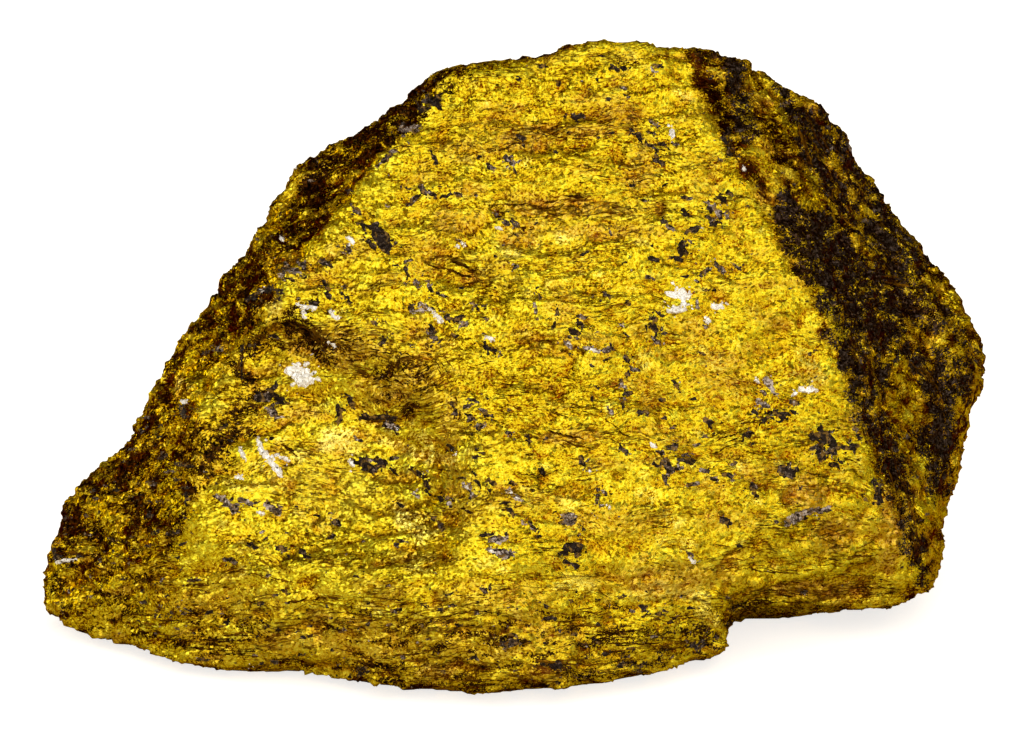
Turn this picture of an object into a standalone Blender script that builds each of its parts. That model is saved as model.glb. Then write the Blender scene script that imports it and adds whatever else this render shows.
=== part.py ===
"""A hand specimen of massive chalcopyrite: one broken lump of brassy ore that lies on a flat underside.

The lump is laid out by its corners, the points where its broken faces meet. Their hull gives the flat faces; cutters
then take out the shell-shaped hollow low on the left of the front face, the ledge under its right end, and three scars
on the back. The surface is remeshed, given the low relief of a fracture (facets that step against each other, dents,
ribs and furrows), brought down to a modest number of triangles, and cut flat underneath.

Units of every length below: millimetres. x runs to the right along the length, y to the back, z up.
"""

import math

import bmesh
import bpy
from mathutils import Euler, Matrix, Vector, noise

MM = 0.001
STONE = "chalcopyrite_stone"

VOXEL = 0.75  # working grid
TRIANGLES = 9200  # of the finished stone
UNDERSIDE = 0.0  # height of the flat that it lies on
SEED = Vector((31.7, -12.4, 5.9))  # moves the noise fields, so that the relief is always the same

# Relief heights
SWELL = 0.55  # slow waves over whole faces
FACET = 0.42  # broken facets, about a centimetre across
CHIP = 0.26  # chips, a few millimetres across

# Corners -------------------------------------------------------------------------------------------------------------
# The resting face, inside the lower rim
SOLE = [
    (-29, -6.5, -1.2), (-21, -13.2, -1.2), (-5, -18.2, -1.2), (7, -16.2, -1.2), (21, 0, -1.2),
    (29, 7, -1.2), (27, 17, -1.2), (6, 23.5, -1.2), (-21, 15, -1.2), (-31, 3, -1.2),
]
# The lower rim, left to right along the front
RIM = [
    (-40.4, -8.2, 1.6), (-38.2, -10.8, 1.3), (-33.2, -14.0, 1.0), (-27.8, -19.2, 1.2), (-20.0, -21.2, 1.6),
    (-11, -23.6, 1.6), (-1, -26.3, 1.9), (7.2, -24.4, 1.9), (13.9, -20.8, 1.8), (17.2, -17.2, 2.4),
    (33.2, -10.8, 3.0), (35.8, -9, 3.7),
]
# The brow, where the tall front face turns under into the low front face
BROW = [(-28.2, -18.2, 7.4), (-15, -22, 9.4), (-2.6, -25.6, 9.8), (7.2, -22.6, 9.6), (17.4, -18, 8.2), (34.9, -11, 5.6)]
# The top edge of the front face
CREST = [(-5.6, 4.2, 45.9), (1.5, 5, 46.9), (6.2, 5.6, 48.6), (9.6, 5.8, 48.5), (15.4, 6.2, 47.4)]
# The right edge of the front face, from the crest down
RIGHT_ARRIS = [(17.0, 0.4, 42.4), (21.0, -3.3, 35.4), (24.1, -6.3, 29.7), (28.2, -9.3, 22), (30.8, -11.3, 15.6), (33.0, -12.2, 10.4)]
# The bevel beside it, widest at the top
BEVEL = [(23.2, 4.6, 40.9), (24.8, 1.2, 35.8), (26.2, -3.0, 30.8), (27.7, -6.4, 26.3)]
# The left edge of the front face, from the crest down
LEFT_ARRIS = [(-9.8, 1.2, 41.6), (-15, -3, 36.2), (-20.8, -8, 29.4), (-24.2, -12.6, 22), (-27, -15.6, 14.6)]
# The outline of the left side, from the top down to the left tip
LEFT_SIDE = [
    (-7.0, 9, 44.9), (-12.6, 9, 40.6), (-18.0, 7, 36.3), (-20.3, 6, 34.2), (-24.3, 4.6, 27.9), (-28.8, 2, 21.6),
    (-33.0, 0.4, 14.9), (-37.6, -2, 10.2), (-39.3, -4, 7.4), (-40.3, -7, 3.4),
]
# The outline of the right side, from the top down
RIGHT_SIDE = [
    (19.8, 8.4, 45.4), (22.8, 11, 43.6), (26.3, 15.4, 40.4), (31.3, 16, 34.0), (35.0, 15, 28.8), (40.4, 13.8, 21.4),
    (41.6, 12.6, 18.0), (41.6, 11, 14.8), (41.0, 9.2, 12.2), (39.2, 7.0, 9.6), (37.9, 3, 4.4), (36.5, -4, 2.2),
]
# The back, which falls from just behind the crest in a few large faces
BACK = [
    (-6, 14.5, 41.2), (5, 16.5, 42.6), (16, 17.5, 41.4), (25, 21.5, 34.4), (9, 24.6, 31.5), (-10, 20.5, 30.4),
    (-18.5, 15.6, 29.6), (-25.5, 13, 19.4), (-34.2, 5.6, 7.6), (-34.5, 5, 3), (-25, 17, 6), (-22, 17.6, 2.5),
    (6, 28.2, 13.5), (7, 27.6, 3), (24, 25.6, 14), (30.5, 21.5, 3.4), (36.2, 17.8, 11), (36.4, 18.8, 22),
]

# The hollow low on the left of the front face: its rim, a millimetre clear of the stone, and the line where its short
# upper wall meets its long floor
HOLLOW_RIM = [
    (-24.4, -6.4, 26.8), (-18.2, -8.7, 30.2), (-13.6, -10, 28.9), (-8.9, -12.1, 27.2), (-4.9, -14.9, 24.0),
    (-3.0, -18.3, 20.3), (-3.4, -21.7, 15.9), (-7, -25.2, 10.2), (-15.2, -23, 9.0), (-23.6, -20.4, 9.0),
    (-27.2, -17.6, 12.2), (-26.6, -15.2, 17.7), (-15, -20.3, 22.5),
]
HOLLOW_FLOOR = [(-21.4, -10.4, 23.9), (-16.3, -10.5, 22.6), (-11.1, -12.1, 20.4), (-6.9, -14.8, 18.3), (-5.6, -19.4, 14.7)]

# Scars on the back, each the room that a lost piece took up: a tall one with a ledge under it, and one on each side
SCARS = {
    "back_scar": [
        (-19.5, 14.6, 22.5), (1.0, 20.0, 13.2), (15.0, 21.4, 19.0), (-11.0, 12.0, 45), (8.5, 13.8, 46),
        (-22, 34, 21), (1, 38, 9), (19, 38, 16), (-13, 34, 48), (11, 36, 48),
    ],
    "right_scar": [
        (25.2, 21.6, 27.0), (29.0, 22.4, 7.0), (33.4, 16.9, 30.0), (36.2, 16.8, 12.0),
        (25, 36, 28), (28, 38, 6), (44, 22, 31), (47, 24, 11),
    ],
    "left_scar": [
        (-31.6, 5.6, 15.0), (-25.0, 9.4, 22.5), (-18.4, 13.6, 16.0), (-22.6, 12.8, 6.0), (-30.6, 8.4, 5.0),
        (-40, 18, 16), (-27, 26, 26), (-16, 32, 15), (-24, 32, 4), (-38, 22, 3),
    ],
}

# Local forms: centre, radius and height along the surface (below zero is a dent) ---------------------------------------
BUMPS = [
    ((26.9, 15.6, 39.9), 1.8, 1.3),  # knob on the right shoulder
    ((17.8, 7.2, 46.6), 3.6, 1.5),  # ends of the crest
    ((28.8, 15.8, 37.4), 2.6, 0.9),
    ((-5.0, 5.0, 45.8), 3.2, 0.45),
    ((-37.6, -2.6, 9.6), 3.2, 1.0),
    ((-17.4, 7, 37.0), 2.6, 0.5),
    ((-39.8, -8.4, 2.4), 2.6, 0.7),  # left tip
    ((-13.5, 9, 39.0), 4.5, -0.7),  # hollows of the left outline
    ((-23.2, 4.6, 31.0), 3.6, -0.9),
    ((-28.4, 1.8, 25.2), 3.4, 0.5),
    ((-34.4, -0.6, 15.6), 3.4, -1.0),
    ((-39.6, -6, 6.0), 2.4, 0.6),
    ((39.0, 9, 13.6), 2.8, -0.8),  # step under the right shoulder
    ((38.2, 12, 26.0), 4.0, -0.6),
    ((30.0, 3, 26.0), 7.0, -1.0),  # hollow middle of the right side
    ((34.0, 0, 15.0), 6.0, -0.9),
    ((-30.0, -9, 14.0), 6.5, -0.8),  # hollow left side
    ((-33.5, -11, 6.0), 5.0, 0.5),
    ((0.0, -10, 28.0), 12.0, 0.5),  # slow swells of the front face
    ((13.0, -10, 26.0), 9.0, -0.5),
    ((21.0, -15, 13.0), 8.0, 0.6),
    ((4.5, -17.5, 17.0), 6.5, -0.5),
    ((3.0, -24, 4.5), 6.0, -0.4),
    ((-14.0, -21.5, 5.0), 6.0, 0.4),
]

# Furrows and ribs: two ends, half width and height (below zero is a furrow)
LINES = [
    ((24.0, 9.5, 41.5), (33.0, 9.0, 30.0), 1.2, -0.8),  # furrow down the right shoulder
    ((33.0, 9.0, 30.0), (37.5, 5.0, 16.0), 1.6, -0.8),
    ((19.5, 2.5, 42.0), (26.5, 0.5, 31.0), 1.4, 0.5),  # rib beside the right arris
    ((35.5, -2.0, 16.0), (36.6, -5.0, 5.0), 1.3, -0.6),
    ((-5.2, -13.5, 27.5), (-4.6, -21.0, 15.0), 1.3, -0.5),  # valley at the right end of the hollow
    ((-22.0, -15.0, 16.5), (-27.0, -15.5, 10.0), 1.6, 0.5),  # fan of ribs at the left end of the brow
    ((-9.5, 1.0, 42.5), (14.5, 2.0, 43.5), 0.9, -0.22),  # ledges across the front face
    ((-13.0, -4.0, 37.0), (19.0, -2.5, 37.4), 0.9, -0.25),
    ((-6.0, -7.5, 31.6), (17.0, -6.0, 31.2), 0.8, -0.22),
    ((2.0, -19.0, 13.4), (29.0, -13.5, 12.0), 1.0, -0.3),
    ((-24.0, -19.5, 5.4), (-4.0, -24.6, 6.0), 0.8, -0.3),
]


def clear_scene():
    for obj in list(bpy.data.objects):
        bpy.data.objects.remove(obj, do_unlink=True)
    for group in list(bpy.data.collections):
        bpy.data.collections.remove(group)


def new_collection(name):
    group = bpy.data.collections.new(name)
    bpy.context.scene.collection.children.link(group)
    return group


def object_from(bm, name, group):
    mesh = bpy.data.meshes.new(name)
    bm.to_mesh(mesh)
    bm.free()
    obj = bpy.data.objects.new(name, mesh)
    group.objects.link(obj)
    return obj


def hull_of(points):
    """The smallest closed convex body around the points."""
    bm = bmesh.new()
    for point in points:
        bm.verts.new(Vector(point) * MM)
    made = bmesh.ops.convex_hull(bm, input=bm.verts, use_existing_faces=False)
    inner = [v for v in made["geom_interior"] if isinstance(v, bmesh.types.BMVert)]
    bmesh.ops.delete(bm, geom=list(set(inner)), context="VERTS")
    bmesh.ops.recalc_face_normals(bm, faces=bm.faces)
    return bm


def box_cutter(name, group, centre, size, turn):
    bm = bmesh.new()
    bmesh.ops.create_cube(bm, size=1.0)
    place = (
        Matrix.Translation(Vector(centre) * MM)
        @ Euler([math.radians(a) for a in turn]).to_matrix().to_4x4()
        @ Matrix.Diagonal((*(Vector(size) * MM), 1.0))
    )
    bmesh.ops.transform(bm, matrix=place, verts=bm.verts)
    return as_cutter(object_from(bm, name, group))


def as_cutter(obj):
    obj.hide_render = True
    obj.display_type = "WIRE"
    return obj


def baked(obj):
    """Replaces the object's mesh by its evaluated one, and drops the modifiers."""
    bpy.context.view_layer.update()
    graph = bpy.context.evaluated_depsgraph_get()
    mesh = bpy.data.meshes.new_from_object(obj.evaluated_get(graph))
    old = obj.data
    obj.modifiers.clear()
    obj.data = mesh
    bpy.data.meshes.remove(old)
    mesh.name = obj.name


def smoothstep(low, high, value):
    t = min(max((value - low) / (high - low), 0.0), 1.0)
    return t * t * (3 - 2 * t)


def facets(point, size, lean):
    """Height of a surface broken into cells, each tipped its own way and stepped against its neighbours."""
    _, centres = noise.voronoi(point / size)
    cell = centres[0]
    tip = noise.cell_vector(cell * 7.31 + Vector((0.5, 0.5, 0.5)))
    step = noise.cell(cell * 5.77 + Vector((3.1, 1.7, 9.2)))
    return lean * (tip - Vector((0.5, 0.5, 0.5))).dot(point / size - cell) * 2 + step - 0.5


def relief(p, n):
    """How far the surface stands out at p, whose outward normal is n, in millimetres."""
    q = p + SEED
    front = smoothstep(0.35, 0.75, -n.y) * smoothstep(9, 13, p.z)  # the tall front face is the smoothest
    rough = 1.0 - 0.65 * front
    height = SWELL * noise.noise(q / 17.0)
    warp = Vector((noise.noise(q / 6.0), noise.noise(q / 6.0 + SEED), noise.noise(q / 6.0 - SEED)))
    height += rough * FACET * facets(q + warp * 2.2, 9.5, 0.9)
    height += rough * CHIP * facets(q + warp * 1.4, 4.2, 0.9)
    # thin beds: they run level, and dip a little to the right
    bed = (p.z + 0.10 * p.x + 1.3 * noise.noise(q / 9.0)) / 3.4
    saw = bed - math.floor(bed)
    height += (0.16 + 0.16 * front) * (saw - 0.5) * smoothstep(-0.3, 0.3, noise.noise(q / 8.0) + 0.1)
    for centre, radius, rise in BUMPS:
        away = (p - Vector(centre)).length / radius
        if away < 2.2:
            height += rise * math.exp(-1.6 * away * away)
    for a, b, half, rise in LINES:
        a, b = Vector(a), Vector(b)
        along = min(max((p - a).dot(b - a) / (b - a).length_squared, 0.0), 1.0)
        wander = Vector((0, 0, 0.9 * noise.noise(q / 5.0)))
        away = (p + wander - (a + (b - a) * along)).length / half
        if away < 2.4:
            ends = smoothstep(0.0, 0.15, along) * smoothstep(1.0, 0.85, along)
            height += rise * ends * math.exp(-1.4 * away * away)
    return height * smoothstep(0.2, 2.6, p.z)


def sway(p):
    """Moves the back about sideways, so that the edges of its scars wander."""
    q = (p + SEED) / 7.0
    amount = 2.6 * smoothstep(13, 19, p.y) * smoothstep(1.0, 5.0, p.z)
    return amount * Vector((noise.noise(q * 1.1), 0.4 * noise.noise(q + SEED), noise.noise(q - SEED)))


def carve_relief(obj):
    mesh = obj.data
    bm = bmesh.new()
    bm.from_mesh(mesh)
    for _ in range(2):
        bmesh.ops.smooth_vert(
            bm, verts=bm.verts, factor=0.35, use_axis_x=True, use_axis_y=True, use_axis_z=True
        )
    bm.normal_update()
    moves = [(v, v.normal * (relief(v.co / MM, v.normal) * MM) + sway(v.co / MM) * MM) for v in bm.verts]
    for vert, move in moves:
        vert.co += move
    bm.to_mesh(mesh)
    bm.free()


def flatten_underside(obj):
    """Cuts the stone off level and closes the cut with one flat face."""
    bm = bmesh.new()
    bm.from_mesh(obj.data)
    cut = bmesh.ops.bisect_plane(
        bm,
        geom=list(bm.verts) + list(bm.edges) + list(bm.faces),
        dist=1e-6,
        plane_co=(0, 0, UNDERSIDE * MM),
        plane_no=(0, 0, -1),
        clear_outer=True,
    )
    rim = [e for e in cut["geom_cut"] if isinstance(e, bmesh.types.BMEdge)]
    bmesh.ops.holes_fill(bm, edges=rim, sides=0)
    for vert in bm.verts:
        if abs(vert.co.z - UNDERSIDE * MM) < 1e-6:
            vert.co.z = UNDERSIDE * MM
    bmesh.ops.dissolve_degenerate(bm, edges=bm.edges, dist=2e-5)
    bmesh.ops.triangulate(bm, faces=bm.faces)
    bmesh.ops.recalc_face_normals(bm, faces=bm.faces)
    bm.to_mesh(obj.data)
    bm.free()


def centre_on_origin(obj):
    """Puts the origin at the middle of the stone's box, level with the underside."""
    xs = [v.co.x for v in obj.data.vertices]
    ys = [v.co.y for v in obj.data.vertices]
    zs = [v.co.z for v in obj.data.vertices]
    move = Vector(((min(xs) + max(xs)) / 2, (min(ys) + max(ys)) / 2, min(zs)))
    obj.data.transform(Matrix.Translation(-move))
    print("origin moved by", [round(c / MM, 3) for c in move], "mm")


def ore_material():
    material = bpy.data.materials.new("chalcopyrite")
    material.use_nodes = True
    shader = material.node_tree.nodes["Principled BSDF"]
    shader.inputs["Base Color"].default_value = (0.47, 0.31, 0.03, 1)
    shader.inputs["Metallic"].default_value = 0.85
    shader.inputs["Roughness"].default_value = 0.42
    material.diffuse_color = (0.47, 0.31, 0.03, 1)
    return material


def main():
    clear_scene()
    stone_group = new_collection("chalcopyrite_specimen")
    cutters = new_collection("cutters")

    corners = SOLE + RIM + BROW + CREST + RIGHT_ARRIS + BEVEL + LEFT_ARRIS + LEFT_SIDE + RIGHT_SIDE + BACK
    stone = object_from(hull_of(corners), STONE, stone_group)

    # The hollow: a chip that broke out of the front face, deepest under its upper edge, running out to the brow.
    hollow = as_cutter(object_from(hull_of(HOLLOW_RIM + HOLLOW_FLOOR), "hollow", cutters))
    # The ledge: the low front face ends short of the right corner, which hangs clear behind it.
    ledge = box_cutter("ledge", cutters, (33.5, -21.4, 0.5), (30.0, 20.0, 11.0), (12, 0, 2))
    undercut = box_cutter("undercut", cutters, (33.0, -10.1, -2.2), (30.0, 26.0, 8.0), (-24, 0, 2))
    scars = [as_cutter(object_from(hull_of(corners), name, cutters)) for name, corners in SCARS.items()]
    for cutter in (hollow, ledge, undercut, *scars):
        cut = stone.modifiers.new(cutter.name, "BOOLEAN")
        cut.operation = "DIFFERENCE"
        cut.solver = "EXACT"
        cut.object = cutter
    baked(stone)

    grid = stone.modifiers.new("grid", "REMESH")
    grid.mode = "VOXEL"
    grid.voxel_size = VOXEL * MM
    baked(stone)
    carve_relief(stone)

    count = len(stone.data.polygons) * 2
    fewer = stone.modifiers.new("fewer", "DECIMATE")
    fewer.ratio = TRIANGLES / count
    fewer.use_collapse_triangulate = True
    baked(stone)
    flatten_underside(stone)
    centre_on_origin(stone)

    stone.data.materials.clear()
    stone.data.materials.append(ore_material())
    stone.data.shade_smooth()
    stone.data.set_sharp_from_angle(angle=math.radians(38))


main()
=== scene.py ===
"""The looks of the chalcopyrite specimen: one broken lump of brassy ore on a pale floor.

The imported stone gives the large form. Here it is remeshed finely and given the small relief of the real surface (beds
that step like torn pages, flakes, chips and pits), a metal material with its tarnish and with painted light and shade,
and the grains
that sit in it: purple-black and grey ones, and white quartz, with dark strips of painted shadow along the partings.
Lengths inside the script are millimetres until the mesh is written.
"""

import math

import bpy
import numpy as np
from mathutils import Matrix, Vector
from mathutils.bvhtree import BVHTree
from mathutils.geometry import delaunay_2d_cdt


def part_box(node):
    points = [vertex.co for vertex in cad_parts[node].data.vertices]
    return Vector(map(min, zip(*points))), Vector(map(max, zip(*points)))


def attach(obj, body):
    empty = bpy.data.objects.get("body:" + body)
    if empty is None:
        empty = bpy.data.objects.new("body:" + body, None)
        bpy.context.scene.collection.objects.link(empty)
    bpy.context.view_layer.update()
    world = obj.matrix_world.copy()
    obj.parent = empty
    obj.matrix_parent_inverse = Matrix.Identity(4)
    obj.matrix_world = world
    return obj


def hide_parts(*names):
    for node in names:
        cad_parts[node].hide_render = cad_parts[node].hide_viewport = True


MM = 0.001
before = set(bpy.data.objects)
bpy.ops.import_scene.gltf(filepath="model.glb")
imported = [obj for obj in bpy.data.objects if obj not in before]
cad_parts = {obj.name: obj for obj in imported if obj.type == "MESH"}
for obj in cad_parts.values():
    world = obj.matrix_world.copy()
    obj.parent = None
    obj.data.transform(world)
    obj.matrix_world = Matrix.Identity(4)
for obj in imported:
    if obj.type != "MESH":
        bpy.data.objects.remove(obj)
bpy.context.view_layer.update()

NODE = "chalcopyrite_stone"
GRID = 0.23  # mm, of the fine surface
FACES = 192000  # of the finished stone
# From the drawing the corners were laid out in to the row frame (the CAD centres the stone on its origin)
SHIFT = np.array([0.836, 1.223, 0.0])

# Photograph's view, in the frame of SHIFT: it stands 400 mm off, 20 degrees above the table
VIEW_UP = math.radians(20.0)
VIEW_FAR = 400.0
VIEW_AT = np.array([0.0, -2.0, 21.6])
VIEW_PX = VIEW_FAR / 0.0852  # focal length in pixels of a 1024 x 736 image
FORWARD = np.array([0.0, math.cos(VIEW_UP), -math.sin(VIEW_UP)])
UPWARD = np.array([0.0, math.sin(VIEW_UP), math.cos(VIEW_UP)])
EYE = VIEW_AT - VIEW_FAR * FORWARD - SHIFT

BED = np.array([-0.04, 0.42, 0.90])
BED /= np.linalg.norm(BED)  # the beds lie across this direction


# ---------------------------------------------------------------------------------------------------------------------
# Noise on whole arrays of points
def hashed(ix, iy, iz, seed):
    with np.errstate(over="ignore"):
        h = (
            ix.astype(np.uint32) * np.uint32(374761393)
            + iy.astype(np.uint32) * np.uint32(668265263)
            + iz.astype(np.uint32) * np.uint32(2147483629)
            + np.uint32((seed * 40503 + 977) & 0xFFFFFFFF)
        )
        h = (h ^ (h >> np.uint32(15))) * np.uint32(2246822519)
        h = (h ^ (h >> np.uint32(13))) * np.uint32(3266489917)
        return h ^ (h >> np.uint32(16))


def unit(h, part):
    """A number from 0 to 1 out of one hash; part picks which."""
    with np.errstate(over="ignore"):
        g = h * np.uint32(2 * part + 1) + np.uint32(0x9E3779B9 & 0xFFFFFFFF) * np.uint32(part + 1)
        g = (g ^ (g >> np.uint32(16))) * np.uint32(2246822507)
        g = g ^ (g >> np.uint32(13))
    return (g & np.uint32(0xFFFFFF)).astype(np.float32) / np.float32(0xFFFFFF)


def perlin(p, seed=0):
    """Gradient noise, about -1 to 1."""
    base = np.floor(p).astype(np.int64)
    f = (p - base).astype(np.float32)
    s = f * f * f * (f * (f * 6 - 15) + 10)
    total = np.zeros(len(p), np.float32)
    for dx in (0, 1):
        wx = s[:, 0] if dx else 1 - s[:, 0]
        for dy in (0, 1):
            wy = s[:, 1] if dy else 1 - s[:, 1]
            for dz in (0, 1):
                wz = s[:, 2] if dz else 1 - s[:, 2]
                h = hashed(base[:, 0] + dx, base[:, 1] + dy, base[:, 2] + dz, seed)
                g = (
                    (unit(h, 1) * 2 - 1) * (f[:, 0] - dx)
                    + (unit(h, 2) * 2 - 1) * (f[:, 1] - dy)
                    + (unit(h, 3) * 2 - 1) * (f[:, 2] - dz)
                )
                total += wx * wy * wz * g
    return total * 1.6


def fbm(p, octaves, seed=0, gain=0.5):
    total, size = np.zeros(len(p), np.float32), 1.0
    for i in range(octaves):
        total += size * perlin(p * 2.03**i, seed + 17 * i)
        size *= gain
    return total


def cells(p, seed=0):
    """Nearest and second distance to scattered points, the nearest point's own hash, and the way to it."""
    base = np.floor(p).astype(np.int64)
    first = np.full(len(p), 9.0, np.float32)
    second = np.full(len(p), 9.0, np.float32)
    own = np.zeros(len(p), np.uint32)
    away = np.zeros((len(p), 3), np.float32)
    for dx in (-1, 0, 1):
        for dy in (-1, 0, 1):
            for dz in (-1, 0, 1):
                c = base + np.array([dx, dy, dz])
                h = hashed(c[:, 0], c[:, 1], c[:, 2], seed)
                at = c + np.stack([unit(h, 1), unit(h, 2), unit(h, 3)], 1)
                d = (p - at).astype(np.float32)
                r = np.sqrt((d * d).sum(1))
                near = r < first
                second = np.where(near, first, np.minimum(second, r))
                first = np.where(near, r, first)
                own = np.where(near, h, own)
                away = np.where(near[:, None], d, away)
    return first, second, own, away


def smoothstep(low, high, x):
    t = np.clip((x - low) / (high - low), 0, 1)
    return t * t * (3 - 2 * t)


# ---------------------------------------------------------------------------------------------------------------------
# The fine surface
def evaluated_mesh(obj, name):
    bpy.context.view_layer.update()
    graph = bpy.context.evaluated_depsgraph_get()
    mesh = bpy.data.meshes.new_from_object(obj.evaluated_get(graph))
    mesh.name = name
    return mesh


def read_points(mesh):
    co = np.empty(len(mesh.vertices) * 3, np.float32)
    mesh.vertices.foreach_get("co", co)
    return co.reshape(-1, 3).astype(np.float64)


def read_normals(mesh):
    n = np.empty(len(mesh.vertices) * 3, np.float32)
    mesh.vertices.foreach_get("normal", n)
    return n.reshape(-1, 3).astype(np.float64)


def write_points(mesh, co):
    mesh.vertices.foreach_set("co", co.astype(np.float32).ravel())
    mesh.update()


def edge_ends(mesh):
    e = np.empty(len(mesh.edges) * 2, np.int32)
    mesh.edges.foreach_get("vertices", e)
    return e.reshape(-1, 2)


def relaxed(co, ends, rounds, share=0.5):
    """Each point moved towards the middle of its neighbours."""
    count = np.bincount(ends.ravel(), minlength=len(co)).astype(float)
    for _ in range(rounds):
        total = np.empty_like(co)
        for k in range(3):
            total[:, k] = np.bincount(ends[:, 0], co[ends[:, 1], k], len(co)) + np.bincount(
                ends[:, 1], co[ends[:, 0], k], len(co)
            )
        co = co + share * (total / count[:, None] - co)
    return co


def bed_place(p):
    """The points' place across the beds, in millimetres, with a slow warp."""
    warp = fbm(p / 7.0, 2, 5) * 0.9 + fbm(p / 2.2, 2, 6) * 0.25
    w = p @ BED + warp
    return w


def relief(p, n):
    """Height of the fine surface over the CAD's, in millimetres."""
    w = bed_place(p)
    third = p @ np.cross([1.0, 0, 0], BED)
    lie = np.stack([p[:, 0], w * 0, third], 1)
    # thin beds with torn edges: a stair of small ledges, each broken along its length
    h = np.zeros(len(p))
    calm = 0.55 + 0.45 * smoothstep(-0.1, 0.5, n @ -FORWARD)
    for pitch, tall, seed in ((2.3, 0.20, 11), (1.05, 0.11, 12), (0.52, 0.055, 13)):
        t = w / pitch + 0.55 * perlin(lie / (pitch * 2.6), seed)
        saw = t - np.floor(t)
        step = hashed(np.floor(t).astype(np.int64), (lie[:, 0] / (pitch * 4.5) + 7).astype(np.int64), np.zeros(len(p), np.int64), seed)
        weight = 0.35 + 0.65 * smoothstep(-0.35, 0.45, perlin(p / (pitch * 3.1), seed + 30))
        h += tall * weight * calm * (saw**1.6 - 0.4)
        h += tall * 0.25 * weight * calm * (unit(step, 1) - 0.5)
    # chips: little facets tipped at random
    q = np.stack([p[:, 0] / 2.0, w / 1.0, third / 2.0], 1)
    q = q + 0.25 * np.stack([perlin(p / 1.3, 41), perlin(p / 1.3, 42), perlin(p / 1.3, 43)], 1)
    f1, f2, own, away = cells(q, 3)
    tip = (unit(own, 4) - 0.5) * away[:, 0] + (unit(own, 5) - 0.5) * away[:, 1] + (unit(own, 6) - 0.5) * away[:, 2]
    coarse = 1.0 + 1.3 * (1 - smoothstep(0.72, 0.93, n @ np.array([0.06, -0.80, 0.60])))
    h += (0.24 * tip + 0.08 * (unit(own, 7) - 0.5)) * coarse
    # flakes: the same, finer
    q = np.stack([p[:, 0] / 0.85, w / 0.45, third / 0.85], 1)
    f1, f2, own, away = cells(q, 4)
    tip = (unit(own, 4) - 0.5) * away[:, 0] + (unit(own, 5) - 0.5) * away[:, 1] + (unit(own, 6) - 0.5) * away[:, 2]
    h += (0.15 * tip + 0.05 * (unit(own, 7) - 0.5)) * coarse
    # slow unevenness and a few pits
    h += 0.16 * fbm(p / 4.0, 3, 21)
    pits = cells(p / 3.4 + 0.3 * fbm(p / 1.5, 2, 23)[:, None], 8)
    deep = smoothstep(0.30, 0.12, pits[0]) * (unit(pits[2], 2) > 0.55)
    h -= 0.28 * deep
    return h - 0.03


def ledges(p, n, mesh):
    """The larger torn edges: the surface stands out above each line and falls back below it."""
    quads = np.empty(len(mesh.loops), np.int32)
    mesh.loops.foreach_get("vertex_index", quads)
    bvh = BVHTree.FromPolygons((p * MM).tolist(), quads.reshape(-1, 4).tolist())
    h = np.zeros(len(p))
    for points, _, _, _, tall in TEARS:
        if not tall:
            continue
        line = [seen_at(bvh, x, y) for x, y in smooth_line(points, 9)]
        line = np.array([c for c in line if c is not None])
        if len(line) < 4:
            continue
        near = np.flatnonzero((np.abs(p - line.mean(0)) < np.abs(line - line.mean(0)).max(0) + 3.0).all(1))
        here = p[near]
        best = np.full(len(here), 9.0)
        above = np.zeros(len(here))
        fade = np.zeros(len(here))
        for k, (a, b) in enumerate(zip(line[:-1], line[1:])):
            d = b - a
            if np.linalg.norm(d) > 6:
                continue
            t = np.clip(((here - a) @ d) / max(d @ d, 1e-9), 0, 1)
            off = here - a - t[:, None] * d
            r = np.linalg.norm(off, axis=1)
            side = np.cross(d / np.linalg.norm(d), FORWARD)
            closer = r < best
            best = np.where(closer, r, best)
            above = np.where(closer, off @ side, above)
            fade = np.where(closer, np.sin(np.pi * np.clip((k + t) / (len(line) - 1), 0, 1)) ** 0.5, fade)
        reach = 0.5 + 1.6 * tall
        above = above * (1 if np.cross(line[-1] - line[0], FORWARD) @ UPWARD > 0 else -1)
        rise = np.where(above > 0, 0.45 * np.exp(-best / reach), -0.75 * np.exp(-best / (reach * 1.3)))
        rise = rise * smoothstep(0.0, 0.10, best)
        h[near] += np.where(best < 2.8, tall * fade * rise, 0)
    for x, y, r, tall in HUMPS:
        c = seen_at(bvh, x, y)
        if c is not None:
            h += tall * smoothstep(1.2, 0.55, np.linalg.norm(p - c, axis=1) / (r * 0.0852))
    return h


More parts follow.
